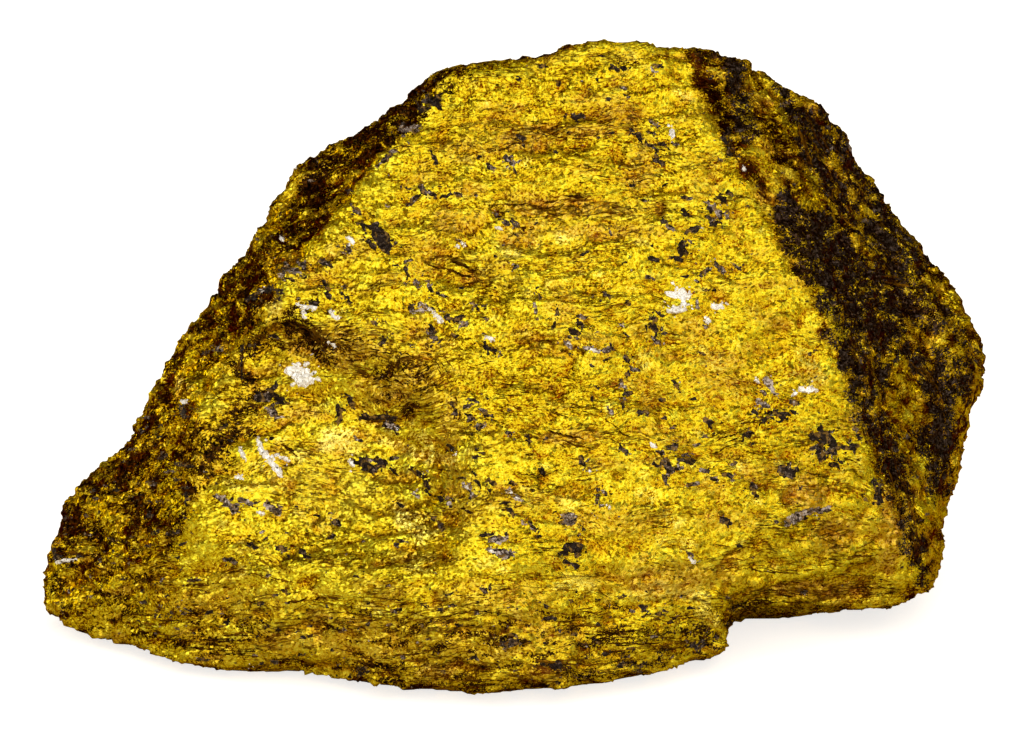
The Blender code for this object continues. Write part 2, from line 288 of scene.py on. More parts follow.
def build_stone():
    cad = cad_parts[NODE]
    work = bpy.data.objects.new("work", cad.data.copy())
    bpy.context.scene.collection.objects.link(work)
    weld = work.modifiers.new("weld", "WELD")
    weld.merge_threshold = 1e-6
    grid = work.modifiers.new("grid", "REMESH")
    grid.mode = "VOXEL"
    grid.voxel_size = GRID * MM
    mesh = evaluated_mesh(work, "fine")
    bpy.data.objects.remove(work)
    p = read_points(mesh) / MM
    ends = edge_ends(mesh)
    low, high = p.min(0), p.max(0)
    flat = p[:, 2] < 0.12
    p = relaxed(p, ends, 5)
    write_points(mesh, p)  # for the normals
    n = read_normals(mesh)
    h = relief(p + SHIFT, n) + ledges(p, n, mesh)
    foot = smoothstep(0.05, 1.4, p[:, 2])  # the underside stays flat
    p = p + n * (h * foot)[:, None]
    p[flat, 2] = 0.0
    # the fine surface fills the CAD's box and doesn't leave it
    box_low = np.array(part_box(NODE)[0]) / MM
    box_high = np.array(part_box(NODE)[1]) / MM
    for k in range(3):
        a, b = p[:, k].min(), p[:, k].max()
        p[:, k] = (p[:, k] - a) * ((box_high[k] - box_low[k]) / (b - a)) + box_low[k]
    # the outline, nudged on the picture plane
    ray = p - EYE
    depth = ray @ FORWARD
    u, v = 512 + VIEW_PX * ray[:, 0] / depth, 368 - VIEW_PX * (ray @ UPWARD) / depth
    for x, y, dx, dy, r in NUDGES:
        near = np.exp(-((u - x) ** 2 + (v - y) ** 2) / r**2) * smoothstep(0.3, 3.0, p[:, 2])
        p = p + near[:, None] * 0.0852 * (dx * np.array([1.0, 0, 0]) - dy * UPWARD)
    front = np.exp(-(((u - 312) / 52) ** 2) - ((v - 676) / 15) ** 2) * smoothstep(5.0, 2.0, p[:, 2])
    p[:, 1] += 1.6 * front
    write_points(mesh, p * MM)
    fine = bpy.data.objects.new("ore", mesh)
    bpy.context.scene.collection.objects.link(fine)
    fewer = fine.modifiers.new("fewer", "DECIMATE")
    count = len(mesh.polygons) * 2
    fewer.ratio = min(1.0, FACES / count)
    fewer.use_collapse_triangulate = True
    done = evaluated_mesh(fine, "ore")
    fine.modifiers.clear()
    fine.data = done
    write_points(done, np.clip(read_points(done), np.array(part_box(NODE)[0]), np.array(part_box(NODE)[1])))
    bpy.data.meshes.remove(mesh)
    print("STONE", count, "->", len(done.polygons), "faces")
    return fine


# ---------------------------------------------------------------------------------------------------------------------
# Materials
class Tree:
    """A short way to write a node tree."""

    def __init__(self, name):
        self.material = bpy.data.materials.new(name)
        self.material.use_nodes = True
        self.tree = self.material.node_tree
        self.tree.nodes.clear()
        self.out = self.add("ShaderNodeOutputMaterial")
        self.shader = self.add("ShaderNodeBsdfPrincipled")
        self.tree.links.new(self.shader.outputs[0], self.out.inputs[0])

    def add(self, kind, **values):
        node = self.tree.nodes.new(kind)
        for key, value in values.items():
            setattr(node, key, value)
        return node

    def link(self, value, socket):
        if hasattr(value, "links") or isinstance(value, bpy.types.NodeSocket):
            self.tree.links.new(value, socket)
        elif isinstance(value, (tuple, list)) and socket.type == "RGBA" and len(value) == 3:
            socket.default_value = (*value, 1)
        else:
            socket.default_value = value

    def math(self, operation, a, b=0.0, c=0.0, clamp=False):
        node = self.add("ShaderNodeMath", operation=operation, use_clamp=clamp)
        for value, socket in zip((a, b, c), node.inputs):
            self.link(value, socket)
        return node.outputs[0]

    def vector(self, operation, a, b=None, scale=None):
        node = self.add("ShaderNodeVectorMath", operation=operation)
        self.link(a, node.inputs[0])
        if b is not None:
            self.link(b, node.inputs[1])
        if scale is not None:
            self.link(scale, node.inputs["Scale"])
        return node.outputs["Value"] if operation in ("DOT_PRODUCT", "LENGTH") else node.outputs[0]

    def noise(self, where, scale, detail=2.0, rough=0.5, distortion=0.0, colour=False):
        node = self.add("ShaderNodeTexNoise")
        self.link(where, node.inputs["Vector"])
        node.inputs["Scale"].default_value = scale
        node.inputs["Detail"].default_value = detail
        node.inputs["Roughness"].default_value = rough
        node.inputs["Distortion"].default_value = distortion
        return node.outputs["Color" if colour else "Fac"]

    def voronoi(self, where, scale, feature="F1", output="Distance", randomness=1.0):
        node = self.add("ShaderNodeTexVoronoi", feature=feature)
        self.link(where, node.inputs["Vector"])
        node.inputs["Scale"].default_value = scale
        node.inputs["Randomness"].default_value = randomness
        return node.outputs[output]

    def ramp(self, value, low, high, out_low=0.0, out_high=1.0, smooth=True):
        node = self.add("ShaderNodeMapRange", interpolation_type="SMOOTHSTEP" if smooth else "LINEAR")
        self.link(value, node.inputs["Value"])
        for name, v in (("From Min", low), ("From Max", high), ("To Min", out_low), ("To Max", out_high)):
            self.link(v, node.inputs[name])
        return node.outputs["Result"]

    def mix(self, fac, a, b, blend="MIX"):
        node = self.add("ShaderNodeMix", data_type="RGBA", blend_type=blend)
        self.link(fac, node.inputs[0])
        self.link(a, node.inputs[6])
        self.link(b, node.inputs[7])
        return node.outputs[2]

    def attribute(self, name):
        node = self.add("ShaderNodeAttribute", attribute_name=name)
        return node.outputs["Fac"]


def ore_material():
    """Brassy metal in fine flakes, with painted light and shade. The wide fields come from the mesh: bed (the beds' own
    space), rust films with painted brown shade, tarnish and coating with painted shade, painted highlights and painted
    parting shadows, and so on.
    """
    t = Tree("chalcopyrite_ore")
    coords = t.add("ShaderNodeTexCoord")
    p = t.vector("SCALE", coords.outputs["Object"], scale=1000.0)
    bed = t.add("ShaderNodeAttribute", attribute_name="bed").outputs["Vector"]
    q = t.vector("MULTIPLY", bed, (1.0, 1.25, 1.0))
    rust_and_shade_field = t.attribute("rust_and_shade")
    tarnish_and_side_shade_field = t.attribute("tarnish_and_side_shade")
    coat_and_shade_field = t.attribute("coat_and_shade")
    patches_and_painted_light = t.attribute("patches_and_painted_light")
    parting_shade = t.attribute("parting_shade")
    pale = t.attribute("pale")
    plum = t.attribute("plum")
    recess_shade = t.attribute("recess_shade")

    # flakes: each tips its own way
    flake_node = t.add("ShaderNodeTexVoronoi", feature="F1")
    t.link(q, flake_node.inputs["Vector"])
    flake_node.inputs["Scale"].default_value = 3.8
    flake = flake_node.outputs["Color"]
    flake_parts = t.add("ShaderNodeSeparateColor")
    t.link(flake, flake_parts.inputs[0])
    # wormy grain over them
    grain_node = t.add("ShaderNodeTexNoise")
    t.link(q, grain_node.inputs["Vector"])
    grain_node.inputs["Scale"].default_value = 4.5
    grain_node.inputs["Detail"].default_value = 2.0
    grain_node.inputs["Roughness"].default_value = 0.7
    grain, grain_colour = grain_node.outputs["Fac"], grain_node.outputs["Color"]
    speck = t.noise(p, 9.0, 1.0, 0.6)

    tone = t.math("ADD", t.math("MULTIPLY_ADD", grain, 0.61, 0.035), t.math("MULTIPLY", speck, 0.32))
    tone = t.math("ADD", tone, t.math("MULTIPLY", t.math("SUBTRACT", flake_parts.outputs[0], 0.5), 0.10))
    # painted light and shade, with the random patches: this field lifts or lowers the tone
    tone = t.math("ADD", tone, t.math("MULTIPLY", patches_and_painted_light, t.ramp(tarnish_and_side_shade_field, 0.0, 1.0, 0.07, 0.24)))
    # painted side shade as well as tarnish: lower tone on the old faces
    tone = t.math("SUBTRACT", tone, t.math("MULTIPLY", tarnish_and_side_shade_field, 0.070))
    # coating and painted shade: lower tone where the coat field lies
    tone = t.math("SUBTRACT", tone, t.math("MULTIPLY", coat_and_shade_field, 0.07))
    # painted shade: lower tone in the pits and hollows
    tone = t.math("SUBTRACT", tone, t.math("MULTIPLY", recess_shade, 0.05))

    shade = t.ramp(tone, t.ramp(tarnish_and_side_shade_field, 0.0, 1.0, 0.34, 0.38), 0.515)
    gleam = t.ramp(tone, 0.49, t.ramp(tarnish_and_side_shade_field, 0.0, 1.0, 0.655, 0.60))
    # the darkest colour is far darker on the old faces: tarnish and painted side shade together
    deep = t.mix(tarnish_and_side_shade_field, (0.158, 0.028, 0.0003), (0.013, 0.0036, 0.0002))
    gold = t.mix(shade, deep, (0.655, 0.458, 0.006))
    gold = t.mix(gleam, gold, (0.765, 0.705, 0.038))
    # painted highlight: paler gold in the brightest flakes where the pale field lies
    gold = t.mix(t.math("MULTIPLY", pale, t.ramp(tone, 0.47, 0.56)), gold, (0.99, 0.84, 0.16))
    # rusty and pinkish films, and painted brown shade in the hollow
    film = t.math("MULTIPLY", rust_and_shade_field, t.ramp(speck, 0.30, 0.52))
    rust = t.mix(t.ramp(flake_parts.outputs[2], 0.35, 0.75), (0.40, 0.135, 0.004), (0.58, 0.325, 0.055))
    rust = t.mix(shade, t.mix(1.0, rust, (0.34, 0.30, 0.30), "MULTIPLY"), rust)
    gold = t.mix(t.math("MULTIPLY", film, 0.80), gold, rust)
    # painted shadow: thin dark lines along the beds, where the partings shade
    line_node = t.noise(t.vector("MULTIPLY", bed, (0.30, 1.9, 0.30)), 1.0, 3.0, 0.55)
    line = t.math("ABSOLUTE", t.math("SUBTRACT", line_node, 0.5))
    line = t.math("MULTIPLY", t.ramp(line, t.ramp(parting_shade, 0.0, 1.0, 0.016, 0.060), 0.004), t.ramp(parting_shade, 0.05, 0.45))
    gold = t.mix(t.math("MULTIPLY", line, 0.86), gold, (0.070, 0.017, 0.001))
    # old dark coating and tarnish, partly painted shade: the old faces are darkened and browned, and near-black is laid
    # where the coat field holds coating or painted shade
    gold = t.mix(tarnish_and_side_shade_field, gold, t.mix(1.0, gold, (0.92, 0.74, 0.85), "MULTIPLY"))
    edge = t.math("MULTIPLY_ADD", coat_and_shade_field, 0.085, 0.400)
    cover = t.math("MULTIPLY", t.ramp(tone, t.math("ADD", edge, 0.022), t.math("SUBTRACT", edge, 0.022)), t.ramp(coat_and_shade_field, 0.02, 0.22))
    black = t.mix(plum, (0.060, 0.0210, 0.002), (0.052, 0.0350, 0.0260))
    black = t.mix(t.ramp(t.noise(p, 3.4, 3.0, 0.65), 0.60, 0.42), black, (0.010, 0.0050, 0.0024))
    gold = t.mix(cover, gold, black)
    # painted shade: darker and browner in the pits and hollows
    gold = t.mix(t.ramp(recess_shade, 0.05, 0.80, 0.0, 0.75), gold, t.mix(1.0, gold, (0.86, 0.66, 0.60), "MULTIPLY"))

    t.link(gold, t.shader.inputs["Base Color"])
    t.shader.inputs["Metallic"].default_value = 1.0
    rough = t.ramp(flake_parts.outputs[1], 0.0, 1.0, 0.27, 0.46)
    t.link(rough, t.shader.inputs["Roughness"])
    t.shader.inputs["Specular Tint"].default_value = (0.55, 0.33, 0.05, 1)

    geometry = t.add("ShaderNodeNewGeometry")
    steep = t.ramp(flake_parts.outputs[0], 0.72, 1.0, 0.42, 1.7)
    steep = t.math("MULTIPLY", steep, t.ramp(tarnish_and_side_shade_field, 0.0, 1.0, 1.0, 1.6))
    tip = t.vector("SCALE", t.vector("SUBTRACT", flake, (0.5, 0.5, 0.5)), scale=steep)
    tip = t.vector("ADD", tip, t.vector("SCALE", t.vector("SUBTRACT", grain_colour, (0.5, 0.5, 0.5)), scale=0.86))
    normal = t.vector("NORMALIZE", t.vector("ADD", geometry.outputs["Normal"], tip))
    t.link(normal, t.shader.inputs["Normal"])
    return t.material


def parting_shadow_material():
    """Painted shadow: dark brown strips along the partings, where the bed edges shade them."""
    t = Tree("parting_shadow_brown")
    coords = t.add("ShaderNodeTexCoord")
    p = t.vector("SCALE", coords.outputs["Object"], scale=1000.0)
    tone = t.attribute("tone")
    spot = t.noise(p, 2.6, 2.0, 0.6)
    brown = t.mix(t.ramp(spot, 0.35, 0.65), (0.013, 0.0045, 0.0008), (0.085, 0.029, 0.0015))
    t.link(t.mix(tone, brown, (0.24, 0.105, 0.004)), t.shader.inputs["Base Color"])
    t.shader.inputs["Metallic"].default_value = 0.9
    t.shader.inputs["Specular IOR Level"].default_value = 0.2
    t.link(t.ramp(spot, 0.3, 0.7, 0.40, 0.62), t.shader.inputs["Roughness"])
    t.shader.inputs["Specular Tint"].default_value = (0.50, 0.28, 0.05, 1)
    return t.material


def grain_material():
    """Purple-black sphalerite and magnetite, with grey-lilac broken faces."""
    t = Tree("dark_ore_grain")
    coords = t.add("ShaderNodeTexCoord")
    p = t.vector("SCALE", coords.outputs["Object"], scale=1000.0)
    tone = t.attribute("tone")
    node = t.add("ShaderNodeTexVoronoi", feature="F1")
    t.link(t.vector("MULTIPLY", p, (1.0, 1.0, 1.5)), node.inputs["Vector"])
    node.inputs["Scale"].default_value = 2.7
    face = t.add("ShaderNodeSeparateColor")
    t.link(node.outputs["Color"], face.inputs[0])
    fine = t.noise(p, 6.5, 2.0, 0.65)
    value = t.math("ADD", t.math("MULTIPLY", t.math("SUBTRACT", face.outputs[0], 0.5), 0.75), t.math("MULTIPLY", t.math("SUBTRACT", fine, 0.5), 1.7))
    value = t.math("ADD", value, tone)
    dark = t.mix(t.ramp(value, 0.25, 0.75), (0.007, 0.0035, 0.0022), (0.150, 0.104, 0.072))
    dark = t.mix(t.ramp(value, 0.66, 1.02), dark, (0.52, 0.435, 0.37))
    rusty = t.ramp(t.noise(p, 1.9, 2.0, 0.6), 0.53, 0.64)
    dark = t.mix(t.math("MULTIPLY", rusty, 0.7), dark, (0.26, 0.14, 0.022))
    t.link(dark, t.shader.inputs["Base Color"])
    t.shader.inputs["Metallic"].default_value = 0.35
    t.shader.inputs["Specular IOR Level"].default_value = 0.32
    t.shader.inputs["Specular Tint"].default_value = (0.85, 0.62, 0.45, 1)
    t.link(t.ramp(face.outputs[1], 0.0, 1.0, 0.26, 0.55), t.shader.inputs["Roughness"])
    geometry = t.add("ShaderNodeNewGeometry")
    tip = t.vector("SCALE", t.vector("SUBTRACT", node.outputs["Color"], (0.5, 0.5, 0.5)), scale=0.9)
    t.link(t.vector("NORMALIZE", t.vector("ADD", geometry.outputs["Normal"], tip)), t.shader.inputs["Normal"])
    return t.material


def quartz_material():
    """White quartz, with dark specks in its gaps."""
    t = Tree("white_quartz")
    coords = t.add("ShaderNodeTexCoord")
    p = t.vector("SCALE", coords.outputs["Object"], scale=1000.0)
    tone = t.attribute("tone")
    fine = t.noise(p, 4.6, 2.0, 0.6)
    white = t.mix(t.ramp(t.math("ADD", fine, t.math("MULTIPLY", tone, 0.12)), 0.40, 0.56), (0.60, 0.48, 0.33), (0.99, 0.96, 0.87))
    gap = t.noise(p, 2.9, 2.0, 0.7)
    white = t.mix(t.ramp(gap, 0.34, 0.29), white, (0.060, 0.040, 0.022))
    t.link(white, t.shader.inputs["Base Color"])
    t.shader.inputs["Metallic"].default_value = 0.4
    t.shader.inputs["Roughness"].default_value = 0.42
    t.shader.inputs["IOR"].default_value = 1.544
    t.shader.inputs["Subsurface Weight"].default_value = 0.15
    t.shader.inputs["Subsurface Radius"].default_value = (0.0004, 0.0004, 0.0004)
    t.shader.inputs["Subsurface Scale"].default_value = 1.0
    return t.material


# ---------------------------------------------------------------------------------------------------------------------
# Stage
def softbox(name, azimuth, elevation, far, size, radiance, colour=(1, 1, 1)):
    """An area light that faces the stone. Azimuth 0 is the front and 90 the right; radiance is what the stone sees of it."""
    light = bpy.data.lights.new(name, "AREA")
    light.shape = "RECTANGLE"
    light.size, light.size_y = size
    light.energy = radiance * math.pi * size[0] * size[1]
    light.color = colour
    obj = bpy.data.objects.new(name, light)
    bpy.context.scene.collection.objects.link(obj)
    a, e = math.radians(azimuth), math.radians(elevation)
    middle = Vector((0, 0, 0.02))
    away = Vector((math.sin(a) * math.cos(e), -math.cos(a) * math.cos(e), math.sin(e)))
    obj.location = middle + away * far
    obj.rotation_euler = (-away).to_track_quat("-Z", "Y").to_euler()
    return obj


def stage():
    floor_mesh = bpy.data.meshes.new("floor")
    size = 3.0
    floor_mesh.from_pydata(
        [(-size, -size, 0), (size, -size, 0), (size, size, 0), (-size, size, 0)], [], [(0, 1, 2, 3)]
    )
    floor = bpy.data.objects.new("floor", floor_mesh)
    bpy.context.scene.collection.objects.link(floor)
    t = Tree("pale_floor")
    t.shader.inputs["Base Color"].default_value = (0.80, 0.74, 0.62, 1)
    t.shader.inputs["Roughness"].default_value = 0.9
    t.shader.inputs["Specular IOR Level"].default_value = 0.0
    # the floor looks lit from below to the camera, as on a light table, and the stone doesn't take that light up
    path = t.add("ShaderNodeLightPath")
    t.shader.inputs["Emission Color"].default_value = (1, 1, 1, 1)
    t.link(t.math("MULTIPLY", path.outputs["Is Camera Ray"], 0.72), t.shader.inputs["Emission Strength"])
    floor_mesh.materials.append(t.material)

    softbox("key", 9, 53, 0.62, (1.05, 0.70), 1.80)
    softbox("front", 6, 13, 0.85, (0.80, 0.30), 1.72, (1, 0.96, 0.86))
    softbox("front_left", -54, 11, 0.80, (0.46, 0.28), 1.4, (1, 0.94, 0.80))
    softbox("front_right", 48, 10, 0.80, (0.40, 0.28), 1.6, (1, 0.94, 0.80))
    softbox("back", 180, 56, 0.75, (0.46, 0.36), 1.6)
    softbox("left", -112, 18, 0.70, (0.34, 0.28), 3.7, (1, 0.96, 0.84))
    softbox("right", 106, 26, 0.70, (0.26, 0.26), 2.6)

    world = bpy.data.worlds.new("studio")
    bpy.context.scene.world = world
    world.use_nodes = True
    nodes, links = world.node_tree.nodes, world.node_tree.links
    nodes.clear()
    out = nodes.new("ShaderNodeOutputWorld")
    seen = nodes.new("ShaderNodeBackground")
    seen.inputs[0].default_value = (1, 1, 1, 1)
    seen.inputs[1].default_value = 0.95
    felt = nodes.new("ShaderNodeBackground")
    felt.inputs[0].default_value = (1, 0.62, 0.32, 1)
    felt.inputs[1].default_value = 0.075
    path = nodes.new("ShaderNodeLightPath")
    mix = nodes.new("ShaderNodeMixShader")
    links.new(path.outputs["Is Camera Ray"], mix.inputs[0])
    links.new(felt.outputs[0], mix.inputs[1])
    links.new(seen.outputs[0], mix.inputs[2])
    links.new(mix.outputs[0], out.inputs[0])

    camera = bpy.data.cameras.new("camera")
    camera.sensor_width = 36.0
    camera.lens = VIEW_PX * 36.0 / 1024.0
    camera.clip_start = 0.01
    camera.clip_end = 20.0
    eye = bpy.data.objects.new("camera", camera)
    bpy.context.scene.collection.objects.link(eye)
    eye.location = Vector(EYE * MM)
    eye.rotation_euler = (math.pi / 2 - VIEW_UP, 0, 0)
    bpy.context.scene.camera = eye
    bpy.context.scene.view_settings.view_transform = "Standard"
    bpy.context.scene.view_settings.look = "None"


# ---------------------------------------------------------------------------------------------------------------------
# What lies where on the stone
# Grains seen from the front, as (from x, from y, to x, to y, half width, tone) on the picture plane of the view above:
# tone 0 is black and 1 is pale grey. Where the two ends are the same the grain is round.
GRAINS = [
    (421, 187, 426, 196, 4, 0.3), (428, 192, 434, 195, 3, 0.3), (418, 196, 408, 204, 3, 0.3),
    (442, 197, 452, 193, 3, 0.2), (456, 194, 462, 196, 3, 0.4), (362, 223, 366, 232, 3, 0),
    (370, 226, 378, 232, 5, 0.05), (378, 234, 386, 244, 8, 0.05), (386, 240, 390, 248, 5, 0.1),
    (368, 241, 376, 249, 3, 0.1), (384, 250, 388, 252, 3, 0.05), (348, 246, 350, 252, 3, 0.5),
    (286, 262, 288, 270, 3, 0.3), (284, 272, 298, 272, 5, 0.5), (284, 277, 294, 280, 3, 0.3),
    (300, 276, 307, 277, 2, 0.4), (277, 292, 281, 292, 4, 0.1), (279, 298, 280, 302, 3, 0.2),
    (322, 281, 326, 282, 2, 0.1), (325, 284, 329, 290, 3, 0.1), (326, 292, 332, 299, 3, 0.1),
    (344, 285, 345, 288, 2, 0.1), (343, 294, 346, 298, 3, 0.1), (347, 297, 350, 303, 3, 0),
    (310, 302, 318, 304, 3, 0.2), (247, 300, 274, 286, 4, 0), (409, 303, 412, 310, 3, 0.4),
    (414, 311, 424, 311, 4, 0.65), (420, 304, 426, 306, 3, 0.7), (440, 311, 443, 312, 2, 0.3),
    (446, 316, 452, 318, 4, 0.3), (454, 321, 462, 317, 4, 0.1), (461, 324, 465, 324, 4, 0.5),
    (405, 262, 414, 260, 2, 0.5), (404, 266, 409, 276, 3, 0.4), (415, 280, 419, 288, 3, 0.4),
    (427, 282, 432, 292, 3, 0.5), (436, 293, 448, 297, 2, 0.4), (404, 284, 407, 286, 2, 0.3),
    (394, 264, 398, 266, 2, 0.4), (429, 324, 433, 332, 3, 0.2), (428, 332, 432, 338, 3, 0.5),
    (434, 336, 438, 341, 3, 0.4), (432, 341, 431, 346, 2, 0.2), (372, 322, 378, 324, 3, 0.4),
    (380, 344, 386, 338, 3, 0.3), (472, 303, 476, 306, 3, 0.4), (477, 308, 479, 311, 2, 0.2),
    (482, 308, 485, 308, 3, 0.05), (484, 318, 488, 320, 2, 0.4), (486, 344, 488, 352, 4, 0),
    (490, 350, 496, 351, 3, 0), (500, 352, 502, 356, 3, 0.5), (495, 212, 498, 216, 2, 0.7),
    (500, 218, 508, 224, 3, 0.2), (512, 220, 518, 226, 3, 0.4), (456, 240, 460, 241, 2, 0.6),
    (514, 266, 518, 268, 3, 0.6), (423, 108, 438, 98, 6, 0), (428, 96, 440, 106, 4, 0.1), (402, 130, 418, 127, 5, 0.5),
    (378, 166, 396, 150, 4, 0.4), (432, 152, 436, 163, 3, 0.2), (575, 116, 583, 116, 5, 0.1),
    (537, 294, 541, 298, 3, 0.3), (534, 302, 536, 314, 2, 0.6), (536, 318, 539, 320, 2, 0.4),
    (558, 305, 556, 316, 2, 0.2), (556, 317, 552, 330, 2, 0.15), (578, 321, 583, 328, 3, 0.15),
    (570, 331, 578, 333, 4, 0), (564, 343, 572, 347, 3, 0.75), (582, 347, 600, 352, 3, 0.85),
    (602, 351, 612, 349, 3, 0.6), (610, 344, 612, 348, 2, 0.4), (604, 360, 608, 359, 2, 0.2),
    (625, 357, 628, 362, 3, 0.4), (630, 368, 638, 370, 3, 0.45), (627, 372, 628, 376, 3, 0.2),
    (621, 382, 625, 388, 4, 0.6), (625, 394, 632, 394, 3, 0.1), (624, 398, 623, 408, 3, 0.4),
    (608, 408, 612, 412, 3, 0.7), (595, 386, 600, 388, 2, 0.5), (673, 381, 679, 388, 3, 0.2),
    (650, 318, 656, 320, 3, 0.2), (652, 324, 656, 334, 4, 0.1), (658, 312, 663, 316, 3, 0.1),
    (660, 326, 662, 330, 2, 0.3), (646, 326, 648, 330, 2, 0.3), (652, 338, 660, 344, 3, 0.4),
    (620, 324, 626, 328, 2, 0.6), (626, 334, 630, 338, 2, 0.3), (696, 300, 698, 308, 2, 0.6),
    (702, 324, 708, 328, 2, 0.5), (464, 408, 470, 404, 3, 0.5), (470, 398, 478, 402, 3, 0.3),
    (466, 414, 474, 418, 3, 0.2), (478, 410, 486, 412, 3, 0.4), (486, 414, 493, 416, 3, 0.2),
    (466, 422, 470, 420, 3, 0.3), (476, 428, 484, 426, 4, 0.5), (450, 402, 456, 410, 3, 0.4),
    (506, 430, 510, 434, 3, 0.5), (526, 436, 530, 442, 3, 0.1), (448, 446, 453, 450, 3, 0),
    (476, 450, 484, 454, 3, 0.1), (410, 466, 416, 474, 2, 0), (416, 472, 424, 478, 3, 0), (424, 480, 429, 488, 3, 0),
    (426, 490, 430, 494, 3, 0.1), (414, 492, 418, 496, 3, 0.8), (390, 468, 398, 476, 2, 0), (438, 497, 441, 500, 3, 0),
    (448, 498, 450, 506, 3, 0.6), (472, 472, 478, 478, 2, 0), (476, 480, 482, 490, 2, 0), (488, 480, 494, 484, 4, 0),
    (488, 490, 492, 492, 2, 0.2), (462, 484, 470, 484, 3, 0.7), (470, 488, 472, 496, 4, 0.5),
    (468, 498, 470, 500, 3, 0.1), (510, 482, 514, 484, 3, 0.2), (508, 490, 512, 492, 3, 0.85),
    (514, 496, 520, 500, 3, 0.9), (540, 468, 544, 474, 3, 0.1), (581, 458, 584, 468, 4, 0.15),
    (588, 468, 596, 470, 2, 0.4), (598, 490, 597, 502, 3, 0.3), (596, 504, 604, 506, 2, 0.6),
    (602, 492, 608, 494, 3, 0.4), (658, 452, 664, 454, 3, 0.3), (668, 448, 678, 446, 3, 0.3),
    (674, 442, 676, 450, 3, 0.4), (664, 464, 676, 470, 6, 0.35), (652, 462, 660, 466, 3, 0.15),
    (680, 460, 694, 462, 4, 0.25), (684, 456, 692, 454, 3, 0.4), (664, 474, 668, 486, 3, 0.25),
    (686, 485, 700, 483, 2, 0.6), (700, 470, 708, 472, 3, 0.5), (712, 478, 718, 480, 3, 0.5),
    (562, 516, 574, 516, 4, 0.5), (564, 522, 576, 522, 4, 0.4), (576, 526, 584, 530, 2, 0.1),
    (578, 534, 580, 540, 2, 0.3), (592, 512, 596, 518, 2, 0.4), (500, 504, 510, 502, 2, 0),
    (508, 508, 514, 516, 3, 0.15), (522, 518, 524, 528, 2, 0.6), (528, 522, 536, 530, 3, 0.4),
    (480, 535, 494, 534, 2, 0.1), (492, 540, 506, 540, 5, 0.75), (488, 550, 498, 550, 3, 0.9),
    (498, 552, 506, 556, 5, 0.6), (506, 550, 512, 556, 4, 0.6), (566, 548, 580, 548, 6, 0), (560, 554, 566, 552, 3, 0),
    (576, 556, 580, 552, 3, 0), (566, 562, 578, 568, 4, 0.1), (394, 542, 398, 546, 3, 0.4),
    (688, 554, 694, 558, 3, 0.6), (610, 66, 618, 70, 3, 0.2), (622, 68, 628, 70, 3, 0.1), (650, 68, 656, 72, 3, 0.8),
    (620, 87, 628, 89, 2, 0.4), (624, 95, 630, 97, 2, 0.2), (650, 120, 658, 126, 3, 0.4), (632, 130, 640, 134, 3, 0.3),
    (638, 134, 642, 140, 3, 0.1), (648, 132, 654, 134, 2, 0.3), (672, 142, 678, 146, 2, 0.6),
    (646, 142, 652, 148, 3, 0.3), (658, 142, 668, 148, 3, 0.1), (654, 146, 658, 150, 3, 0.2),
    (654, 154, 658, 158, 3, 0), (656, 160, 662, 164, 4, 0.05), (632, 185, 634, 188, 3, 0),
    (718, 196, 724, 200, 4, 0.1), (728, 192, 733, 196, 3, 0.2), (706, 202, 712, 206, 3, 0.5),
    (714, 206, 722, 216, 4, 0.6), (726, 214, 729, 218, 3, 0.6), (708, 216, 714, 222, 3, 0.3),
    (710, 224, 718, 222, 3, 0.1), (720, 222, 724, 226, 3, 0.1), (708, 208, 712, 212, 3, 0.1),
    (682, 210, 686, 216, 3, 0.1), (688, 212, 690, 216, 2, 0.2), (662, 220, 666, 224, 3, 0.2),
    (668, 226, 674, 230, 3, 0.5), (688, 232, 698, 228, 4, 0.2), (689, 240, 694, 246, 2, 0.3),
    (680, 244, 684, 254, 5, 0.1), (674, 258, 682, 260, 3, 0), (669, 258, 672, 258, 2, 0.1),
    (700, 276, 710, 268, 3, 0.4), (714, 262, 724, 272, 3, 0.4), (734, 264, 740, 268, 3, 0.4),
    (694, 278, 700, 284, 2, 0.3), (702, 290, 716, 290, 2, 0.1), (720, 159, 722, 160, 3, 0.5),
    (736, 158, 738, 158, 3, 0.1), (724, 138, 730, 154, 3, 0), (742, 168, 746, 170, 2, 0.6),
    (604, 294, 610, 298, 3, 0.3), (610, 230, 612, 236, 2, 0.6), (766, 378, 772, 390, 4, 0.95),
    (772, 390, 778, 396, 3, 0.7), (762, 390, 764, 394, 3, 0.5), (758, 402, 768, 408, 4, 0.7),
    (792, 402, 796, 404, 4, 0.5), (790, 408, 796, 413, 3, 0.1), (762, 422, 768, 416, 4, 0), (768, 414, 778, 411, 3, 0),
    (776, 412, 787, 417, 5, 0), (753, 411, 758, 416, 3, 0.1), (744, 436, 752, 433, 4, 0.1), (820, 427, 826, 436, 5, 0),
    (812, 437, 820, 438, 5, 0.05), (824, 436, 834, 450, 7, 0.1), (820, 448, 822, 456, 6, 0),
    (828, 450, 832, 454, 6, 0.35), (842, 446, 854, 448, 5, 0), (830, 464, 838, 465, 3, 0), (840, 460, 842, 464, 3, 0),
    (853, 428, 858, 430, 3, 0.6), (858, 436, 860, 438, 3, 0.1), (782, 470, 792, 474, 6, 0.3),
    (796, 466, 797, 470, 3, 0.1), (725, 475, 732, 478, 4, 0.5), (731, 466, 738, 460, 2, 0.4),
    (788, 522, 808, 512, 5, 0.7), (808, 512, 830, 508, 4, 0.7), (876, 480, 880, 502, 5, 0.1),
    (866, 500, 866, 500, 4, 0.2), (358, 462, 368, 468, 8, 0), (376, 462, 384, 464, 5, 0), (487, 592, 487, 592, 5, 0.3),
    (258, 395, 268, 397, 6, 0.2), (270, 394, 280, 400, 7, 0), (268, 408, 276, 416, 5, 0.6), (339, 405, 339, 424, 4, 0),
